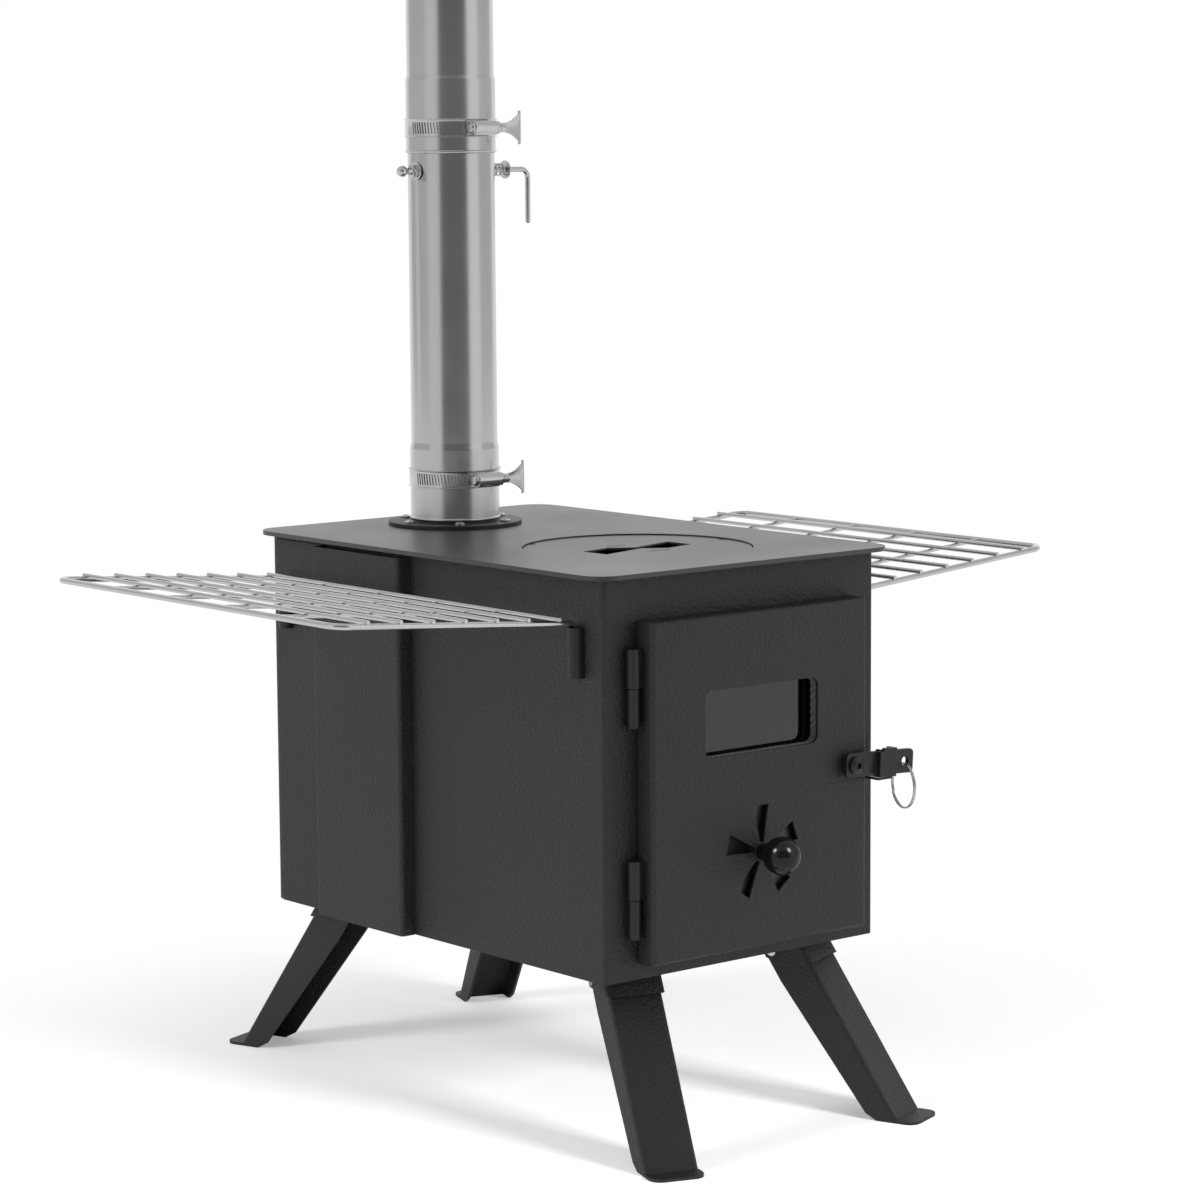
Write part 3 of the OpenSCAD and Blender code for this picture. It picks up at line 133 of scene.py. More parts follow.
def math_node(tree, operation, first, second):
    """A Math node of two inputs, each a socket or a number."""
    node = tree.nodes.new("ShaderNodeMath")
    node.operation = operation
    for socket, value in zip(node.inputs, (first, second)):
        if isinstance(value, (int, float)):
            socket.default_value = value
        else:
            tree.links.new(value, socket)
    return node.outputs[0]


# %% [markdown]
# ## Powder coat grain
# The baked paint on the sheets has a fine leather-like relief, with cells of one or two millimetres.
# Smooth Voronoi cells give the pebbles and a finer noise breaks up their edges. The height goes into
# a Bump node in the material. The second output is a slow mottle for colour and roughness.

# %% The grain group
crumbs_to_cells, smoothness = 1.7, 0.6
grain_group, g_in, g_out = start_group(
    "powder grain", {"Cells per metre": 900.0, "Mottle per metre": 9.0}, ("Height", "Mottle"))
place = grain_group.nodes.new("ShaderNodeTexCoord")
cells = grain_group.nodes.new("ShaderNodeTexVoronoi")
cells.feature = "SMOOTH_F1"
cells.inputs["Smoothness"].default_value = smoothness
crumbs = grain_group.nodes.new("ShaderNodeTexNoise")
crumbs.inputs["Detail"].default_value = 3
mottle = grain_group.nodes.new("ShaderNodeTexNoise")
mottle.inputs["Detail"].default_value = 4
for texture in (cells, crumbs, mottle):
    grain_group.links.new(place.outputs["Object"], texture.inputs["Vector"])
grain_group.links.new(g_in.outputs["Cells per metre"], cells.inputs["Scale"])
grain_group.links.new(math_node(grain_group, "MULTIPLY", g_in.outputs["Cells per metre"], crumbs_to_cells),
                      crumbs.inputs["Scale"])
grain_group.links.new(g_in.outputs["Mottle per metre"], mottle.inputs["Scale"])
pebbles = math_node(grain_group, "SUBTRACT", crumbs.outputs["Fac"], cells.outputs["Distance"])
grain_group.links.new(pebbles, g_out.inputs["Height"])
grain_group.links.new(mottle.outputs["Fac"], g_out.inputs["Mottle"])
print("grain group:", len(grain_group.nodes), "nodes")

# %% [markdown]
# ## Lines left by rolling and turning
# A thin pipe is rolled and polished on rollers, which leaves hair lines round it. Noise squeezed hard
# along Z gives such lines, because it then hardly changes round the pipe. One output is the height
# of the lines, and the other a slow cloud for the colour and the shine.

# %% The line group
across_per_metre = 6.0
line_group, l_in, l_out = start_group(
    "hair lines round Z", {"Lines per metre": 1400.0, "Clouds per metre": 14.0}, ("Height", "Cloud"))
place = line_group.nodes.new("ShaderNodeTexCoord")
parts = line_group.nodes.new("ShaderNodeSeparateXYZ")
squeezed = line_group.nodes.new("ShaderNodeCombineXYZ")
line_group.links.new(place.outputs["Object"], parts.inputs[0])
for axis in "XY":
    line_group.links.new(math_node(line_group, "MULTIPLY", parts.outputs[axis], across_per_metre),
                         squeezed.inputs[axis])
line_group.links.new(math_node(line_group, "MULTIPLY", parts.outputs["Z"], l_in.outputs["Lines per metre"]),
                     squeezed.inputs["Z"])
hairs = line_group.nodes.new("ShaderNodeTexNoise")
hairs.inputs["Scale"].default_value = 1.0
hairs.inputs["Detail"].default_value = 3
line_group.links.new(squeezed.outputs[0], hairs.inputs["Vector"])
cloud = line_group.nodes.new("ShaderNodeTexNoise")
line_group.links.new(place.outputs["Object"], cloud.inputs["Vector"])
line_group.links.new(l_in.outputs["Clouds per metre"], cloud.inputs["Scale"])
line_group.links.new(hairs.outputs["Fac"], l_out.inputs["Height"])
line_group.links.new(cloud.outputs["Fac"], l_out.inputs["Cloud"])
print("line group:", len(line_group.nodes), "nodes")

# %% [markdown]
# ## Making a finish
# Each finish is a Principled shader fed in the same way. A slow mask mixes two close colours and
# two close roughnesses, so that no surface is one flat value, and a fine height makes the relief.
# What stays the same all over, such as the metal amount, is set on the shader itself.

# %% A helper that makes a finish
finishes = {}
mask_low, mask_high = 0.3, 0.7


def make_finish(name, colours, shine, group, relief, metallic=0.0, **group_values):
    """A Principled material whose colour, roughness and relief come from a shared group.

    Inputs 6 and 7 and output 2 of a Mix node are the ones for colours.
    """
    material = bpy.data.materials.new(name)
    material.use_nodes = True
    tree = material.node_tree
    shader = tree.nodes["Principled BSDF"]
    shader.inputs["Metallic"].default_value = metallic
    texture = place_group(tree, group, **group_values)
    height, mask = texture.outputs[0], texture.outputs[1]
    colour = tree.nodes.new("ShaderNodeMix")
    colour.data_type = "RGBA"
    tree.links.new(mask, colour.inputs["Factor"])
    for socket, value in zip((6, 7), colours):
        colour.inputs[socket].default_value = (*value, 1)
    tree.links.new(colour.outputs[2], shader.inputs["Base Color"])
    rough = tree.nodes.new("ShaderNodeMapRange")
    rough.inputs["From Min"].default_value, rough.inputs["From Max"].default_value = mask_low, mask_high
    rough.inputs["To Min"].default_value, rough.inputs["To Max"].default_value = shine
    tree.links.new(mask, rough.inputs["Value"])
    tree.links.new(rough.outputs["Result"], shader.inputs["Roughness"])
    bump = tree.nodes.new("ShaderNodeBump")
    bump.inputs["Strength"].default_value = 1.0
    bump.inputs["Distance"].default_value = relief
    tree.links.new(height, bump.inputs["Height"])
    tree.links.new(bump.outputs["Normal"], shader.inputs["Normal"])
    finishes[name] = material
    return shader


# %% [markdown]
# ## The painted finishes
# The stove's body has a matt black coat with a clear leather grain. The top plate and lid are
# smoother and mirror the pipe softly. The small fittings are a darker satin black. The ball knob is
# moulded, darker still and glossy. Paint is never quite black: it gives back two or three percent.

# %% Painted finishes
make_finish("body_coat", ((0.020, 0.020, 0.021), (0.030, 0.030, 0.031)), (0.48, 0.58),
            grain_group, 0.00045, Cells_per_metre=500.0)
top_shader = make_finish("top_coat", ((0.030, 0.030, 0.031), (0.040, 0.040, 0.041)), (0.30, 0.37),
                         grain_group, 0.00003, Cells_per_metre=1300.0)
top_shader.inputs["IOR"].default_value = 1.7
make_finish("dark_coat", ((0.012, 0.012, 0.013), (0.020, 0.020, 0.021)), (0.36, 0.46),
            grain_group, 0.00005, Cells_per_metre=1300.0)
knob_shader = make_finish("gloss_knob", ((0.003, 0.003, 0.003), (0.006, 0.006, 0.006)), (0.12, 0.18),
                          grain_group, 0.00001, Cells_per_metre=500.0)
knob_shader.inputs["IOR"].default_value = 1.42
print("finishes so far:", sorted(finishes))

# %% [markdown]
# ## The bare metals
# The chimney is thin stainless sheet with hair lines round it. Wires, screws and clamps are plated
# and brighter. The grate, the discs and the glass frame are darker steel that has taken heat.

# %% Bare metals
make_finish("stainless", ((0.56, 0.56, 0.555), (0.64, 0.64, 0.63)), (0.20, 0.27),
            line_group, 0.000012, metallic=1.0)
make_finish("bright_steel", ((0.60, 0.60, 0.595), (0.72, 0.72, 0.71)), (0.14, 0.24),
            grain_group, 0.00001, metallic=1.0, Cells_per_metre=1500.0, Mottle_per_metre=60.0)
make_finish("dark_steel", ((0.075, 0.075, 0.075), (0.11, 0.108, 0.105)), (0.34, 0.46),
            grain_group, 0.00003, metallic=0.9, Cells_per_metre=1100.0, Mottle_per_metre=30.0)
print("finishes so far:", sorted(finishes))

# %% [markdown]
# ## Glass and rope
# The window is a brown smoked heat glass, so it lets a little light through. The rope behind it is
# glass fibre, grey with graphite: it is dull, and fine grains stand for its threads.

# %% Glass and rope
glass_shader = make_finish("smoked_glass", ((0.20, 0.18, 0.16), (0.24, 0.22, 0.20)), (0.03, 0.06),
                           grain_group, 0.000004, Cells_per_metre=60.0)
glass_shader.inputs["Transmission Weight"].default_value = 1.0
glass_shader.inputs["IOR"].default_value = 1.72
rope_shader = make_finish("rope", ((0.13, 0.13, 0.125), (0.24, 0.235, 0.225)), (0.75, 0.9),
                          grain_group, 0.00025, Cells_per_metre=2400.0, Mottle_per_metre=700.0)
rope_shader.inputs["Sheen Weight"].default_value = 0.4
for node_name, solid in frame["nodes"].items():
    for material_slot in solid.material_slots:
        material_slot.material = finishes[slot_of[node_name]]
print("finishes on", len(slot_of), "solids:", sorted(set(slot_of.values())))

# %% [markdown]
# ## From edited mesh to object and back
# Shapes are built as a bmesh, which is quick to edit, and shown as mesh data on an object. These
# helpers go from one to the other. A curve or a modifier is turned into plain faces by reading the
# object back as Blender evaluates it.

# %% Helpers for meshes
def mesh_of(name, bm):
    """Mesh data made from a bmesh, which is freed."""
    mesh = bpy.data.meshes.new(name)
    bm.to_mesh(mesh)
    bm.free()
    return mesh


def read_back(shown, *helpers):
    """A bmesh of an object with its modifiers done. The object and its helpers are removed."""
    mesh = bpy.data.meshes.new_from_object(shown.evaluated_get(bpy.context.evaluated_depsgraph_get()))
    for left_over in (shown, *helpers):
        bpy.data.objects.remove(left_over)
    bm = bmesh.new()
    bm.from_mesh(mesh)
    bpy.data.meshes.remove(mesh)
    return bm


def join(target, *others):
    """Adds other bmeshes to the first and frees them."""
    for other in others:
        mesh = mesh_of("joined", other)
        target.from_mesh(mesh)
        bpy.data.meshes.remove(mesh)
    return target


# %% [markdown]
# ## Turning a mesh into a piece
# Every new piece ends in the same way: the mesh becomes an object at the origin, smooth shading is
# cut where two faces meet sharply, and it rides on the same body as the solid that it stands for.

# %% A helper that finishes a piece
def make_piece(name, bm, *solids, sharp=40):
    """A finished piece from a bmesh in metres, standing for one or more solids."""
    mesh = mesh_of(name, bm)
    mesh.polygons.foreach_set("use_smooth", [True] * len(mesh.polygons))
    mesh.set_sharp_from_angle(angle=radians(sharp))
    mesh.materials.append(finishes[slot_of[solids[0]]])
    piece = add_object(name, mesh)
    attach(piece, body_of(frame["nodes"][solids[0]])[0])
    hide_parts(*solids)
    return piece


# %% [markdown]
# ## Soft edges for the sheet metal
# A folded or laser-cut sheet never has a knife edge, and the coat rounds it more. The light that
# runs along such an edge is what makes a render look real. So each sheet part is a copy of its
# solid: its triangles are merged into whole faces, and a Bevel modifier rounds what is sharp.

# %% A helper that softens a solid
same_point, same_face, sharp_fold = 0.005 * mm, radians(0.8), radians(30)


def soften(solid, width, segments=2):
    """A copy of a solid whose sharp edges are rounded by a width in mm."""
    bm = bmesh.new()
    bm.from_mesh(frame["nodes"][solid].data)
    bmesh.ops.remove_doubles(bm, verts=bm.verts, dist=same_point)
    bmesh.ops.dissolve_limit(bm, angle_limit=same_face, verts=bm.verts, edges=bm.edges,
                             use_dissolve_boundaries=False)
    piece = make_piece(solid + "_shown", bm, solid)
    bevel = piece.modifiers.new("soft edges", "BEVEL")
    bevel.width = width * mm
    bevel.segments = segments
    bevel.limit_method = "ANGLE"
    bevel.angle_limit = sharp_fold
    bevel.use_clamp_overlap = True
    bevel.harden_normals = True


# %% [markdown]
# ## Firebox, casings and legs
# These are 1 to 3 mm sheets. The edge radius follows the sheet: about a quarter of its thickness,
# so that the two rounds never meet in the middle.

# %% Soften the sheets
thick_edge, thin_edge = 0.45, 0.25
for solid in ("firebox_wrap", "back_panel", "floor_plate", "leg_front_left", "leg_front_right",
              "leg_rear_left", "leg_rear_right"):
    soften(solid, thick_edge)
for solid in ("side_casing_left", "side_casing_right", "shelf_sleeves", "leg_brackets", "grate_ledges",
              "ash_tray", "ash_tray_rivets", "leg_pins"):
    soften(solid, thin_edge)
soften("top_plate", 0.7, segments=3)
soften("cooking_lid", 0.5, segments=3)
soften("fire_grate", 0.5)
soften("lid_seat", 0.4)
print("sheets softened")

# %% [markdown]
# ## Door fittings
# The door is one pan with its window and air slots cut by laser. Its fittings are bolted or welded
# on: two lift-off hinges, the lever with its bolt, the disc behind the slots and the glass frame.

# %% Soften the door and its fittings
soften("door_panel", 0.5, segments=3)
for solid in ("hinge_body_knuckles", "hinge_door_knuckles", "hinge_pins", "latch_lever", "latch_keeper"):
    soften(solid, thick_edge)
for solid in ("latch_bolt", "latch_spacer", "glass_retainer", "intake_disc", "intake_spindle", "intake_nut",
              "retainer_screws", "window_glass"):
    soften(solid, thin_edge)
print("door fittings softened")

# %% [markdown]
# ## Round pieces by spinning a profile
# A lathe or a rolling machine makes a round piece from one outline, and so does the spin operator.
# The profile is a list of (radius, height) in mm, spun right round Z. A full turn merges its last
# ring with the first, and points on the axis are merged to close the pole.

# %% A helper that spins a profile
def spin_profile(profile, steps=96, closed=True):
    """A bmesh in mm of a profile of (radius, height) spun round Z."""
    bm = bmesh.new()
    points = [bm.verts.new((radius, 0, height)) for radius, height in profile]
    pairs = list(zip(points, points[1:])) + ([(points[-1], points[0])] if closed else [])
    edges = [bm.edges.new(pair) for pair in pairs]
    bmesh.ops.spin(bm, geom=points + edges, cent=(0, 0, 0), axis=(0, 0, 1), angle=2 * pi, steps=steps,
                   use_merge=True)
    bmesh.ops.remove_doubles(bm, verts=bm.verts, dist=0.0005)
    bmesh.ops.recalc_face_normals(bm, faces=bm.faces)
    return bm


def set_in_place(bm, matrix):
    """Moves a bmesh in mm to its place, and turns it into metres."""
    bmesh.ops.transform(bm, matrix=Matrix.Scale(mm, 4) @ matrix, verts=bm.verts)
    return bm


# %% [markdown]
# ## Cutting holes
# A Boolean modifier cuts best with one closed cutter, even if the cutter has many separate plugs.
# The result is read back as a plain mesh, and the cutter is thrown away.

# %% A helper that cuts holes
def cut_holes(bm, cutter):
    """The first bmesh with the second one taken out of it."""
    blank, tool = add_object("blank", mesh_of("blank", bm)), add_object("cutter", mesh_of("cutter", cutter))
    boolean = blank.modifiers.new("cut", "BOOLEAN")
    boolean.operation = "DIFFERENCE"
    boolean.solver = "EXACT"
    boolean.object = tool
    return read_back(blank, tool)


def rods(places, radius, length, sides=24):
    """A bmesh in mm of rods along X, each moved by its own matrix."""
    bm = bmesh.new()
    for matrix in places:
        bmesh.ops.create_cone(bm, cap_ends=True, segments=sides, radius1=radius, radius2=radius,
                              depth=length, matrix=matrix @ Matrix.Rotation(pi / 2, 4, "Y"))
    return bm


# %% [markdown]
# ## Chimney pipes
# Each pipe is widened at its lower end into a socket, so that it pushes over the pipe below. The
# shoulder between the two widths is a soft S, and the socket's edge is rolled into a thin bright
# rim. The profile goes up the outside and comes back down the inside, 0.8 mm further in.

# %% The profile of a pipe
pipe_r, socket_r, wall = 30.0, 30.9, 0.8
socket_top, shoulder, shoulder_steps, lip = 49.0, 5.0, 10, 0.15


def ease(share):
    """A soft S from 0 to 1, for a share of the way."""
    return share * share * (3 - 2 * share)


def pipe_profile(length):
    """The closed outline of a pipe's wall as (radius, height) in mm."""
    rim = [(30.15, 0.7), (30.3, 0.2), (30.9, 0.0), (31.4, 0.25), (31.6, 0.9), (31.4, 1.6), (30.95, 1.95),
           (socket_r, 2.6)]
    curve = []
    for step in range(shoulder_steps + 1):
        share = step / shoulder_steps
        curve.append((socket_r + (pipe_r - socket_r) * ease(share), socket_top + shoulder * share))
    top = [(pipe_r, length - 2 * lip), (pipe_r - lip, length), (pipe_r - wall + lip, length),
           (pipe_r - wall, length - 2 * lip)]
    inside = [(radius - wall, height) for radius, height in reversed(curve)]
    return rim + curve + top + inside


flue_y = 120.0
pipe_len, arrestor_len = 303.0, 201.0
pipe_starts = {"damper_pipe": 378.0, "chimney_pipe": 631.3, "spark_arrestor": 884.6}
print("points in a pipe's profile:", len(pipe_profile(pipe_len)))

# %% [markdown]
# ## The two long pipes
# The damper's pipe has a hole on each side for the rod, and one long cutter makes both. The pipe
# above it is plain. Each stands over the end of the one below.

# %% Make the two long pipes
damper_z, rod_hole_r, through = 619.0, 1.95, 70
for solid in ("damper_pipe", "chimney_pipe"):
    bm = spin_profile(pipe_profile(pipe_len))
    if solid == "damper_pipe":
        hole_place = Matrix.Translation((0, 0, damper_z - pipe_starts[solid]))
        bm = cut_holes(bm, rods([hole_place], rod_hole_r, through))
    set_in_place(bm, Matrix.Translation((0, flue_y, pipe_starts[solid])))
    make_piece(solid + "_rolled", bm, solid)
print("pipes start at", pipe_starts)

# %% [markdown]
# ## Spark arrestor
# The last pipe is short and has six rows of twelve punched holes. The punch leaves a small raised
# burr round each hole, which catches the light, so a thin ring is set round every one. The ring is
# spun once and copied to the holes.

# %% Make the spark arrestor
rows, columns, top_row, row_pitch = 6, 12, 18.0, 16.3
hole_r, burr_r, burr_thick, burr_out = 4.5, 4.72, 0.34, 0.3
hole_places = []
for row in range(rows):
    for column in range(columns):
        turn = Matrix.Rotation((column + 0.5) * 2 * pi / columns, 4, "Z")
        hole_z = arrestor_len - top_row - row * row_pitch
        hole_places.append(turn @ Matrix.Translation((pipe_r - wall / 2, 0, hole_z)))
bm = cut_holes(spin_profile(pipe_profile(arrestor_len)), rods(hole_places, hole_r, 5 * wall))
section = [(burr_r + burr_thick * cos(k * pi / 3), burr_thick * sin(k * pi / 3)) for k in range(6)]
ring_mesh = mesh_of("burr", spin_profile(section, steps=20))
for matrix in hole_places:
    burr = ring_mesh.copy()
    burr.transform(matrix @ Matrix.Translation((burr_out, 0, 0)) @ Matrix.Rotation(pi / 2, 4, "Y"))
    bm.from_mesh(burr)
    bpy.data.meshes.remove(burr)
bpy.data.meshes.remove(ring_mesh)
set_in_place(bm, Matrix.Translation((0, flue_y, pipe_starts["spark_arrestor"])))
make_piece("spark_arrestor_punched", bm, "spark_arrestor")
for solid in ("arrestor_ears", "arrestor_rivets"):
    soften(solid, thin_edge)
print("holes in the spark arrestor:", len(hole_places))

# %% [markdown]
# ## Flange, collar and damper
# The flange is screwed to the top plate, and the collar stands in it to carry the first pipe. The
# damper is a disc on a rod with a bent handle, so both keep their solids with softer edges. The
# screws get a very small bevel, because their crossed recess is only a millimetre wide.

# %% Soften the flue's fittings
soften("flue_flange", 0.5, segments=3)
soften("flue_collar", thin_edge)
soften("flange_screws", 0.12)
soften("damper_plate", 0.35)
soften("damper_rod", 0.3, segments=3)
soften("damper_washers", thin_edge)
print("flue fittings softened")

# %% [markdown]
# ## Wires
# Wire is drawn along a line, and a curve with a bevel depth does just that. The curve is then read
# back as a mesh, so that its place is in its points as for every other piece. Corners get several
# points each, so the bends are smooth.

# %% Helpers for wires
def draw_wires(paths, radius, closed=False, roundness=4):
    """A bmesh in mm of round wires along lists of points."""
    curve = bpy.data.curves.new("wire", "CURVE")
    curve.dimensions = "3D"
    curve.bevel_depth = radius
    curve.bevel_resolution = roundness
    curve.use_fill_caps = True
    for path in paths:
        spline = curve.splines.new("POLY")
        spline.points.add(len(path) - 1)
        for point, place in zip(spline.points, path):
            point.co = (*place, 1)
        spline.use_cyclic_u = closed
    bm = read_back(add_object("wire", curve))
    bmesh.ops.remove_doubles(bm, verts=bm.verts, dist=0.0005)
    return bm


def bend(centre, first, second, radius, angle, steps=10):
    """Points of an arc from centre + first * radius, turning towards second."""
    centre, first, second = Vector(centre), Vector(first), Vector(second)
    return [centre + radius * (first * cos(angle * k / steps) + second * sin(angle * k / steps))
            for k in range(steps + 1)]


# %% [markdown]
# ## Side shelves
# One stout wire is bent into the frame: up out of its sleeve, out, round two corners and back down
# into the other sleeve. Thinner wires fill it: four cross wires lie inside it, and seven long wires
# are spot welded on top. The grid rises a little outwards, so its points are given along two tilted
# directions.

# %% Make the shelves
tilt = radians(4.6)
hook_x, hook_z, front_wire_y, rear_wire_y = 119.5, 342.0, -157.0, 157.0
frame_r, long_r, cross_r, corner_r, hook_r = 2.0, 1.5, 1.35, 11.0, 4.0
hook_len, shelf_reach = 27, 183.5
reach = shelf_reach - 2 * frame_r
outward, above = Vector((cos(tilt), 0, sin(tilt))), Vector((-sin(tilt), 0, cos(tilt)))
grid_start = Vector((hook_x + hook_r, 0, hook_z))


def on_grid(out, y, high=0.0):
    """A point of the tilted grid, its distance out from the hooks, y and height above the wire."""
    return grid_start + outward * out + above * high + Vector((0, y, 0))


def frame_wire():
    """The line of the frame's wire, from one sleeve to the other."""
    down, across = Vector((0, 0, -1)), Vector((1, 0, 0))
    centre_z = hook_z - hook_r
    front = [Vector((hook_x, front_wire_y, hook_z - hook_len))]
    front += bend((hook_x + hook_r, front_wire_y, centre_z), -across, -down, hook_r, pi / 2 - tilt)
    front += [on_grid(reach - corner_r, front_wire_y)]
    centre = on_grid(reach - corner_r, front_wire_y + corner_r)
    corner = bend(centre, (0, -1, 0), outward, corner_r, pi / 2)
    half = front + corner
    return half + [Vector((p.x, -p.y, p.z)) for p in reversed(half)]


# %% [markdown]
# ## Welding and mirroring the grid
# The long wires sink a little into the cross wires, as they do where they are welded. The left shelf
# is the mirror of the right one, and mirroring turns the faces inside out, so its normals are
# recalculated.

# %% Draw, weld and mirror the shelves
first_long, long_pitch, first_out, weld = 9.5, 24.6, 8.0, 0.3
long_outs = [first_long + long_pitch * k for k in range(7)]
cross_ys = [front_wire_y + (rear_wire_y - front_wire_y) * k / 5 for k in range(1, 5)]
cross_wires = [[on_grid(first_out, y), on_grid(reach, y)] for y in cross_ys]
long_high = cross_r + long_r - weld
long_wires = [[on_grid(out, front_wire_y - long_r, long_high), on_grid(out, rear_wire_y + long_r, long_high)]
              for out in long_outs]
for side, solid in ((1, "shelf_right"), (-1, "shelf_left")):
    bm = join(bmesh.new(), draw_wires([frame_wire()], frame_r), draw_wires(cross_wires, cross_r),
              draw_wires(long_wires, long_r))
    set_in_place(bm, Matrix.Scale(side, 4, (1, 0, 0)))
    if side < 0:
        bmesh.ops.recalc_face_normals(bm, faces=bm.faces)
    piece = make_piece(solid + "_wires", bm, solid)
    ends = piece.modifiers.new("rounded ends", "BEVEL")
    ends.width, ends.segments, ends.limit_method, ends.angle_limit = 0.5 * mm, 2, "ANGLE", radians(60)
print("wires on a shelf:", 1 + len(cross_wires) + len(long_wires))

# %% [markdown]
# ## Rope gasket
# The seal behind the window is a rope of three strands, laid round the opening. Its middle line
# runs round a rectangle with round corners, and is cut into equal steps, so that the strands wind
# evenly along it.

# %% The rope's middle line
window_x, window_z, rope_y = 2.75, 273.75, -190.25
rope_w, rope_h, rope_bend, corner_steps = 103.3, 49.3, 8.65, 12


def rope_line():
    """Points of the rope's middle line and the outward direction at each, going round once."""
    line = []
    for k, (sx, sz) in enumerate(((1, 1), (-1, 1), (-1, -1), (1, -1))):
        centre = Vector((window_x + sx * (rope_w / 2 - rope_bend), rope_y,
                         window_z + sz * (rope_h / 2 - rope_bend)))
        for step in range(corner_steps + 1):
            angle = radians(90 * k + 90 / corner_steps * step)
            out = Vector((cos(angle), 0, sin(angle)))
            line.append((centre + out * rope_bend, out))
    return line


def even_steps(line, count):
    """The same closed line at equal steps."""
    points = line + [line[0]]
    lengths = [(b[0] - a[0]).length for a, b in zip(points, points[1:])]
    total, result, at, done = sum(lengths), [], 0, 0.0
    for step in range(count):
        goal = total * step / count
        while done + lengths[at] < goal:
            done += lengths[at]
            at += 1
        share = (goal - done) / lengths[at]
        result.append((points[at][0].lerp(points[at + 1][0], share),
                       points[at][1].lerp(points[at + 1][1], share).normalized()))
    return result


# %% [markdown]
# ## Winding the strands
# Each strand circles the middle line at a fixed distance, a third of a turn from the next one. The
# number of turns is whole, so that every strand closes on itself.

# %% Wind the three strands
rope_turns, steps_a_turn, strand_off, strand_r = 20, 16, 1.75, 1.9
middle = even_steps(rope_line(), rope_turns * steps_a_turn)
strands = []
for strand in range(3):
    path = []
    for step, (place, out) in enumerate(middle):
        angle = 2 * pi * (step / steps_a_turn + strand / 3)
        path.append(place + out * strand_off * cos(angle) + Vector((0, 1, 0)) * strand_off * sin(angle))
    strands.append(path)
rope = draw_wires(strands, strand_r, closed=True, roundness=2)
make_piece("window_rope", set_in_place(rope, Matrix()), "window_gasket")
print("points along each strand:", len(middle))

# %% [markdown]
# ## Pull ring
# The ring on the lever is a split ring, two turns of thin wire side by side that cross over once. It
# is one wire whose sideways place changes softly during the cross-over.

# %% Make the split ring
ring_at, ring_mean, ring_wire = Vector((123.938, -201.0, 215.895)), 14.9, 0.55
ring_turn = Matrix.Rotation(radians(-15), 3, "Z")
ring_steps, ring_start, ring_side = 144, 2, 0.56
ring_path = []
for step in range(ring_steps + 1):
    angle = 4 * pi * step / ring_steps
    share = min(max((angle - 1.8 * pi) / (0.4 * pi), 0), 1)
    around = angle + ring_start
    side = -ring_side + 2 * ring_side * ease(share)
    ring_path.append(ring_at + ring_turn @ Vector((side, ring_mean * sin(around), ring_mean * cos(around))))
make_piece("latch_split_ring", set_in_place(draw_wires([ring_path], ring_wire), Matrix()), "latch_ring")
print("split ring points:", len(ring_path))

# %% [markdown]
# ## Damper spring
# The spring holds the damper where it is turned to. It has four curls round the rod, between the pipe
# and a washer, and is one wire along a helix.

# %% Make the spring
spring_at, spring_r, spring_wire, spring_len = Vector((30.3, flue_y, damper_z)), 4.0, 0.65, 13.9
curls, curl_steps, end_gap = 4, 24, 0.05
spring_path = [spring_at + Vector((end_gap, spring_r, 0))]
for step in range(curl_steps * curls + 1):
    angle = 2 * pi * step / curl_steps
    spring_path.append(spring_at + Vector((2 * spring_wire + spring_len * step / (curl_steps * curls),
                                           spring_r * cos(angle), spring_r * sin(angle))))
spring_path.append(spring_at + Vector((4 * spring_wire + spring_len - end_gap, spring_r, 0)))
spring = draw_wires([spring_path], spring_wire)
make_piece("damper_spring_coil", set_in_place(spring, Matrix()), "damper_spring")
print("spring points:", len(spring_path))

# %% [markdown]
# ## Ball knob
# The knob that turns the air disc is a moulded ball on a short neck, with a bore for the spindle. It
# is a turned shape, so its profile is spun, then laid down so that it points out of the door.

# %% Make the ball knob
knob_r, knob_out, neck_r, bore_r, knob_at = 12.5, 18.5, 5.5, 3.05, (2.75, -196, 186.5)
profile = [(bore_r, 0.5), (bore_r + 0.3, 0.3), (neck_r - 0.4, 0.3), (neck_r, 0.7)]
ball_start, ball_steps = -pi / 2 + 0.52, 32
for step in range(ball_steps + 1):
    angle = ball_start + (pi / 2 - ball_start) * step / ball_steps
    profile.append((max(knob_r * cos(angle), 0.0), knob_out + knob_r * sin(angle)))
profile += [(0.0, knob_out + 0.05), (bore_r, knob_out + 0.05)]
knob = spin_profile(profile, steps=64)
set_in_place(knob, Matrix.Translation(knob_at) @ Matrix.Rotation(pi / 2, 4, "X"))
ball_knob = make_piece("intake_ball_knob", knob, "intake_knob", sharp=50)
print("knob profile points:", len(profile))

# %% [markdown]
# ## Damper nut
# The far end of the damper's rod carries a hexagon nut with a small round knob on a neck. The
# hexagon is a six-sided cylinder with bevelled edges, and the neck and ball are one spun profile.

# %% Make the damper nut
def hexagon(radius, thickness, bottom, soft=0.3):
    """A hexagon standing on Z in mm, with softened edges."""
    bm = bmesh.new()
    bmesh.ops.create_cone(bm, cap_ends=True, segments=6, radius1=radius, radius2=radius, depth=thickness,
                          matrix=Matrix.Translation((0, 0, bottom + thickness / 2)))
    bmesh.ops.bevel(bm, geom=bm.edges[:], offset=soft, segments=2, profile=0.5, affect="EDGES", material=-1)
    return bm


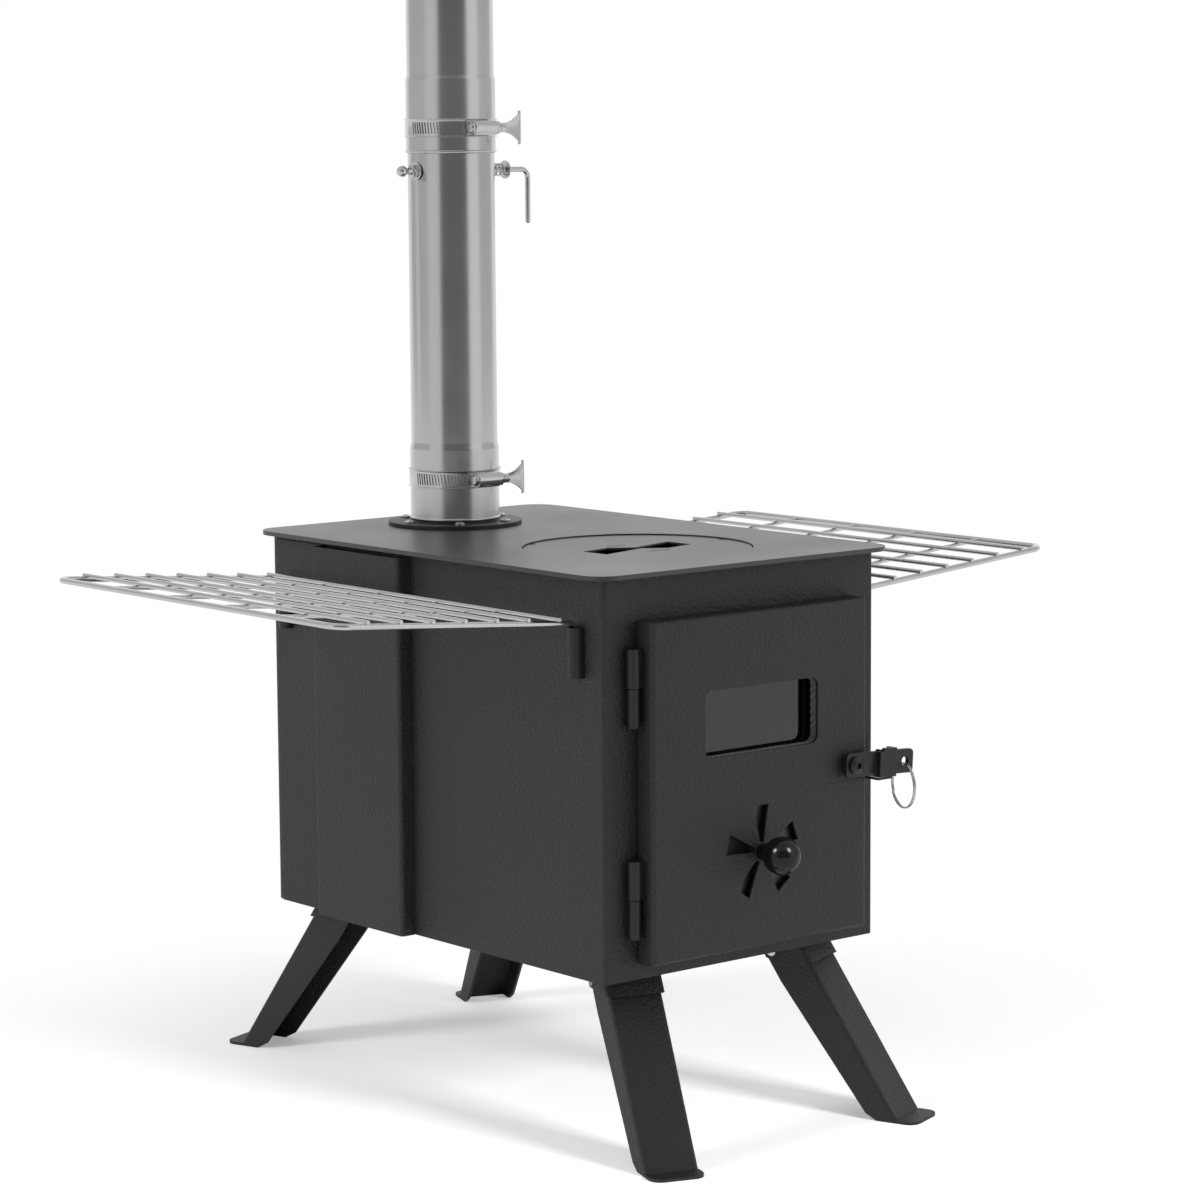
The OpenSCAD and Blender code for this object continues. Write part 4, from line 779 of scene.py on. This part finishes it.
ball_at, ball_r, nut_r, nut_thick, nut_x = 11.0, 3.9, 4.8, 3.5, -31.3
profile = [(0.0, 0.5), (2.8, 0.5), (2.8, 3.5), (2.55, 4.4), (2.3, 6.0), (2.3, 7.2)]
for step in range(16):
    angle = radians(-52 + 142 * step / 16)
    profile.append((ball_r * cos(angle), ball_at + ball_r * sin(angle)))
profile.append((0.0, ball_at + ball_r))
nut = join(hexagon(nut_r, nut_thick, 0.0), spin_profile(profile, steps=32))
set_in_place(nut, Matrix.Translation((nut_x, flue_y, damper_z)) @ Matrix.Rotation(-pi / 2, 4, "Y"))
make_piece("damper_ball_nut", nut, "damper_nut")
print("damper nut profile points:", len(profile))

# %% [markdown]
# ## Clamp bands
# A worm clamp holds each joint of the chimney. Its band is thin strip with both edges turned up a
# little, and a row of leaning slots that the worm's thread bites into. The strip is a spun profile,
# and the slots are cut by small leaning blocks.

# %% Make the bands
clamp_heights = (407.0, 648.3, 901.6)
band_r, slot_count, slot_first, slot_pitch, slot_lean = 31.65, 18, 250, 4.2, radians(8)
slot_size = Matrix.Diagonal((2.8, 1.35, 8.0, 1))
band_profile = [(30.98, -5.2), (31.15, -5.75), (31.9, -6.25), (32.35, -6.1), (32.3, -5.7), (31.75, -5.25),
                (31.65, -4.6), (31.65, 4.6), (31.75, 5.25), (32.3, 5.7), (32.35, 6.1), (31.9, 6.25),
                (31.15, 5.75), (30.98, 5.2)]
for number, height in enumerate(clamp_heights, 1):
    slots = bmesh.new()
    for k in range(slot_count):
        turn = Matrix.Rotation(radians(slot_first - slot_pitch * k), 4, "Z")
        place = turn @ Matrix.Translation((band_r, 0, 0)) @ Matrix.Rotation(slot_lean, 4, "X")
        bmesh.ops.create_cube(slots, size=1, matrix=place @ slot_size)
    band = cut_holes(spin_profile(band_profile), slots)
    set_in_place(band, Matrix.Translation((0, flue_y, height)))
    make_piece(f"clamp_strip_{number}", band, f"clamp_band_{number}")
print("bands at", clamp_heights)

# %% [markdown]
# ## Clamp screws
# The screw is a worm: a thread wound round a core. The spin operator moves along its axis as it
# turns if it is given a step, and so one small four-sided face becomes a thread.

# %% The worm's thread
def worm(length, core, outer, pitch):
    """A threaded rod in mm, along Z from 0 to its length."""
    soft = 0.4
    profile = [(0.0, 0.0), (core - soft, 0.0), (core, soft), (core, length - soft), (core - soft, length),
               (0.0, length)]
    bm = spin_profile(profile, steps=32, closed=False)
    turns = int(length / pitch) - 1
    ridge = bmesh.new()
    low = [ridge.verts.new((radius, 0, height)) for radius, height in
           ((core - 0.2, 0.2), (outer, 0.35 * pitch), (outer, 0.55 * pitch), (core - 0.2, 0.9 * pitch))]
    face = ridge.faces.new(low)
    bmesh.ops.spin(ridge, geom=[face], cent=(0, 0, 0), axis=(0, 0, 1), dvec=(0, 0, pitch / 24),
                   angle=2 * pi * turns, steps=24 * turns)
    bmesh.ops.recalc_face_normals(ridge, faces=ridge.faces)
    return join(bm, ridge)


# %% [markdown]
# ## The wing
# The fingers turn the screw by a flat wing that widens outwards. Its outline is one face, extruded to
# the wing's thickness. The flat sides are then inset and pushed in, which leaves a raised rim.

# %% A helper that makes the wing
def wing(start, length, height, thickness):
    """A flat fan in the XZ plane, in mm, with concave sides and a raised rim."""
    outline = [(0.0, 3.0), (2.0, 3.4)]
    top = height / 2
    outline += [(2.0 + 0.78 * length * t, 3.4 + (top - 5.6) * t ** 1.7) for t in (0.25, 0.5, 0.75, 1.0)]
    outline += [(length - 1.8, top - 0.6), (length - 0.9, top), (length - 0.2, top - 0.7),
                (length, top - 2.2)]
    outline += [(x, -z) for x, z in reversed(outline)]
    bm = bmesh.new()
    face = bm.faces.new([bm.verts.new((start + x, -thickness / 2, z)) for x, z in outline])
    moved = bmesh.ops.extrude_face_region(bm, geom=[face])["geom"]
    far_side = [part for part in moved if isinstance(part, bmesh.types.BMVert)]
    bmesh.ops.translate(bm, vec=(0, thickness, 0), verts=far_side)
    bmesh.ops.recalc_face_normals(bm, faces=bm.faces)
    flats = [f for f in bm.faces if abs(f.normal.y) > 0.9]
    bmesh.ops.inset_individual(bm, faces=flats, thickness=0.9, depth=-0.35 * thickness / 2)
    edges = [e for e in bm.edges if e.calc_face_angle(0) > radians(60)]
    bmesh.ops.bevel(bm, geom=edges, offset=0.3, segments=2, profile=0.5, affect="EDGES", material=-1)
    return bm


# %% [markdown]
# ## Putting the clamps together
# Each screw is its thread, a hexagon collar, a neck and the wing, all along one axis beside the band.
# The folded housing that holds the screw on the band keeps its solid, with softer edges.

# %% Make the screws and housings
housing_half, thread_core, thread_r, thread_pitch = 9.5, 3.1, 3.85, 1.9
housing_floor, thread_half = 0.8, 3.9
screw_drop = band_r + housing_floor + thread_half
collar_r, collar_thick = 5.0, 2.5
wing_start, wing_len, wing_high, wing_thick = 17.2, 15.3, 23.5, 1.7
along_x = Matrix.Rotation(pi / 2, 4, "Y")
for number, height in enumerate(clamp_heights, 1):
    place = Matrix.Translation((0, flue_y - screw_drop, height))
    thread = worm(2 * housing_half + 2.4, thread_core, thread_r, thread_pitch)
    thread_start = Matrix.Translation((-housing_half - 2.2, 0, 0))
    bmesh.ops.transform(thread, matrix=thread_start @ along_x, verts=thread.verts)
    collar = hexagon(collar_r, collar_thick, housing_half + 0.3)
    neck_profile = [(0.0, 9.0), (2.4, 9.0), (2.4, 13.4), (3.3, 13.6), (3.3, 17.4), (2.9, 18.4), (0.0, 18.6)]
    neck = spin_profile(neck_profile, steps=32, closed=False)
    for turned in (collar, neck):
        bmesh.ops.transform(turned, matrix=along_x, verts=turned.verts)
    screw = join(thread, collar, neck, wing(wing_start, wing_len, wing_high, wing_thick))
    make_piece(f"clamp_wing_screw_{number}", set_in_place(screw, place), f"clamp_screw_{number}", sharp=35)
    soften(f"clamp_housing_{number}", 0.5, segments=3)
print("clamps made:", len(clamp_heights))

# %% [markdown]
# ## Studio
# Two large soft lamps light the stove, one from the left of the camera for its side, and one from
# far round to the right, so that the door shades the strip beside its hinges. Two smaller lamps reach
# the ball knob alone, which mirrors each as a bright spot. Two low lamps, to the right of the camera
# and to its left, are for the floor alone and lay the legs' shadows on it. Light linking gives a
# lamp the collection of what it may light.

# %% Lamps
def upright(azimuth, distance, height):
    """A matrix at an azimuth and distance from the stove, whose -Z looks at the stove's axis."""
    back = Vector((sin(azimuth), -cos(azimuth), 0))
    side = Vector((cos(azimuth), sin(azimuth), 0))
    rotation = Matrix((side, Vector((0, 0, 1)), back)).transposed().to_4x4()
    return Matrix.Translation(back * distance + Vector((0, 0, height))) @ rotation


def add_lamp(name, matrix, width, height, watts):
    """A rectangular soft lamp."""
    lamp = bpy.data.lights.new(name, "AREA")
    lamp.shape = "RECTANGLE"
    lamp.size, lamp.size_y, lamp.energy = width, height, watts
    lamp_object = add_object(name, lamp)
    lamp_object.matrix_world = matrix
    return lamp_object


def leaning(offset, distance, height, lean):
    """As upright, at an offset from the camera in degrees, and leaning down by some degrees."""
    return upright(look_turn + radians(offset), distance, height) @ Matrix.Rotation(radians(-lean), 4, "X")


stove_lamps = []
for name, offset, height, watts in (("lamp_left", -63, 1.22, 22), ("lamp_right", 104, 1.4, 30)):
    stove_lamps.append(add_lamp(name, leaning(offset, 2.5, height, 0), 2.0, 2.4, watts))
    stove_lamps[-1].visible_glossy = False
lit_by_knob_lamps = bpy.data.collections.new("lit by the knob lamps")
lit_by_knob_lamps.objects.link(ball_knob)
for name, offset in (("lamp_knob_left", -51), ("lamp_knob_right", 51)):
    lamp_object = add_lamp(name, leaning(offset, 2.3, 1.95, 37), 0.7, 0.9, 34)
    lamp_object.light_linking.receiver_collection = lit_by_knob_lamps
floor_lamps = [add_lamp(name, leaning(offset, 2.4, 1.05, 24), 0.6, 0.6, watts)
               for name, offset, watts in (("lamp_floor_front", 48, 64), ("lamp_floor_left", -57, 38))]
print("lamps:", len(stove_lamps), "for the stove,", len(floor_lamps), "for the floor, 2 for the knob")

# %% [markdown]
# ## What the metal mirrors
# A polished pipe shows what stands round it: a dark strip from the camera's side, a pale band on each
# side of it, and mid grey further round. These are tall glowing screens that only reflections see,
# so they light nothing.

# %% Reflected screens
def bare_material(name):
    """A material without nodes, and its node tree."""
    material = bpy.data.materials.new(name)
    material.use_nodes = True
    material.node_tree.nodes.clear()
    return material, material.node_tree


def add_screen(name, matrix, width, height, level):
    """A glowing rectangle that only reflections see."""
    shape = bmesh.new()
    bmesh.ops.create_grid(shape, x_segments=1, y_segments=1, size=0.5,
                          matrix=matrix @ Matrix.Diagonal((width, height, 1, 1)))
    screen = add_object(name, mesh_of(name, shape))
    screen.visible_camera = screen.visible_diffuse = False
    screen.visible_shadow = screen.visible_transmission = False
    paint, tree = bare_material(name)
    glow = tree.nodes.new("ShaderNodeEmission")
    glow.inputs["Strength"].default_value = level
    screen_out = tree.nodes.new("ShaderNodeOutputMaterial")
    tree.links.new(glow.outputs[0], screen_out.inputs["Surface"])
    screen.data.materials.append(paint)


screen_middle, screen_height = 1.45, 2.8
for name, offset, distance, width, level in (
        ("dark_screen", 8, 3.0, 4.9, 0.15), ("pale_screen_left", -50, 2.6, 1.7, 0.72),
        ("pale_screen_right", 64, 2.6, 1.7, 0.85), ("rear_screen", 180, 3.0, 6.0, 0.95)):
    add_screen(name, leaning(offset, distance, screen_middle, 0), width, screen_height, level)
    print(name, "is", width, "m wide and stands", distance, "m away")

# %% [markdown]
# ## Floor and background
# The photograph has a white floor that runs into a white background, with soft shadows under the
# stove. Near the stove the floor takes the shadows, and a faint glow that only the camera sees lifts
# them. Further out the floor turns into plain white for the camera, and so does the world. Light Path
# keeps that white from adding as much light to the stove.

# %% The white background of the world
def ray_level(tree, camera_level, glossy_level, other_level):
    """A strength by kind of ray: the camera's and those through glass, mirrored ones, and others."""
    path = tree.nodes.new("ShaderNodeLightPath")
    seen = math_node(tree, "MAXIMUM", path.outputs["Is Camera Ray"], path.outputs["Is Transmission Ray"])
    seen_part = math_node(tree, "MULTIPLY", seen, camera_level - other_level)
    glossy_part = math_node(tree, "MULTIPLY", path.outputs["Is Glossy Ray"], glossy_level - other_level)
    return math_node(tree, "ADD", math_node(tree, "ADD", seen_part, glossy_part), other_level)


scene = bpy.context.scene
scene.view_settings.view_transform = "Standard"
scene.world = bpy.data.worlds.new("studio")
scene.world.use_nodes = True
world_tree = scene.world.node_tree
background = world_tree.nodes["Background"]
background.inputs["Color"].default_value = (1, 1, 1, 1)
world_tree.links.new(ray_level(world_tree, 1.0, 0.55, 0.4), background.inputs["Strength"])

# %% [markdown]
# ## The floor's material
# A diffuse shader takes the shadows near the stove and a glow makes the white further out. The
# distance from the stove's middle blends from one to the other.

# %% The floor
floor_half, fade_from, fade_to = 30, 0.24, 0.56
floor_shape = bmesh.new()
bmesh.ops.create_grid(floor_shape, x_segments=1, y_segments=1, size=floor_half)
floor = add_object("floor", mesh_of("floor", floor_shape))
paint, tree = bare_material("pale floor")
near = tree.nodes.new("ShaderNodeBsdfDiffuse")
near.inputs["Color"].default_value = (0.85, 0.85, 0.85, 1)
lift = tree.nodes.new("ShaderNodeEmission")
tree.links.new(ray_level(tree, 0.32, 0.0, 0.0), lift.inputs["Strength"])
near_sum = tree.nodes.new("ShaderNodeAddShader")
tree.links.new(near.outputs[0], near_sum.inputs[0])
tree.links.new(lift.outputs[0], near_sum.inputs[1])
far = tree.nodes.new("ShaderNodeEmission")
tree.links.new(ray_level(tree, 1.0, 0.8, 0.4), far.inputs["Strength"])
spot = tree.nodes.new("ShaderNodeTexCoord")
distance = tree.nodes.new("ShaderNodeVectorMath")
distance.operation = "LENGTH"
tree.links.new(spot.outputs["Object"], distance.inputs[0])
fade = tree.nodes.new("ShaderNodeMapRange")
fade.interpolation_type = "SMOOTHSTEP"
fade.inputs["From Min"].default_value, fade.inputs["From Max"].default_value = fade_from, fade_to
tree.links.new(distance.outputs["Value"], fade.inputs["Value"])
blend = tree.nodes.new("ShaderNodeMixShader")
tree.links.new(fade.outputs["Result"], blend.inputs["Fac"])
tree.links.new(near_sum.outputs[0], blend.inputs[1])
tree.links.new(far.outputs[0], blend.inputs[2])
floor_out = tree.nodes.new("ShaderNodeOutputMaterial")
tree.links.new(blend.outputs[0], floor_out.inputs["Surface"])
floor.data.materials.append(paint)
print("the floor fades to white from", fade_from, "to", fade_to, "m from the stove's middle")

# %% [markdown]
# ## Which lamps reach the floor
# The two large lamps would lay one wide grey shadow, so they leave the floor out. The two low lamps
# light nothing else, and make the short shadows of the legs.

# %% Link the lamps
floor_alone = bpy.data.collections.new("floor alone")
all_but_floor = bpy.data.collections.new("all but the floor")
for group, state in ((floor_alone, "INCLUDE"), (all_but_floor, "EXCLUDE")):
    group.objects.link(floor)
    group.collection_objects[0].light_linking.link_state = state
for lamps, group in ((floor_lamps, floor_alone), (stove_lamps, all_but_floor)):
    for lamp_object in lamps:
        lamp_object.light_linking.receiver_collection = group
print("lamps that light the floor:", [lamp_object.name for lamp_object in floor_lamps])
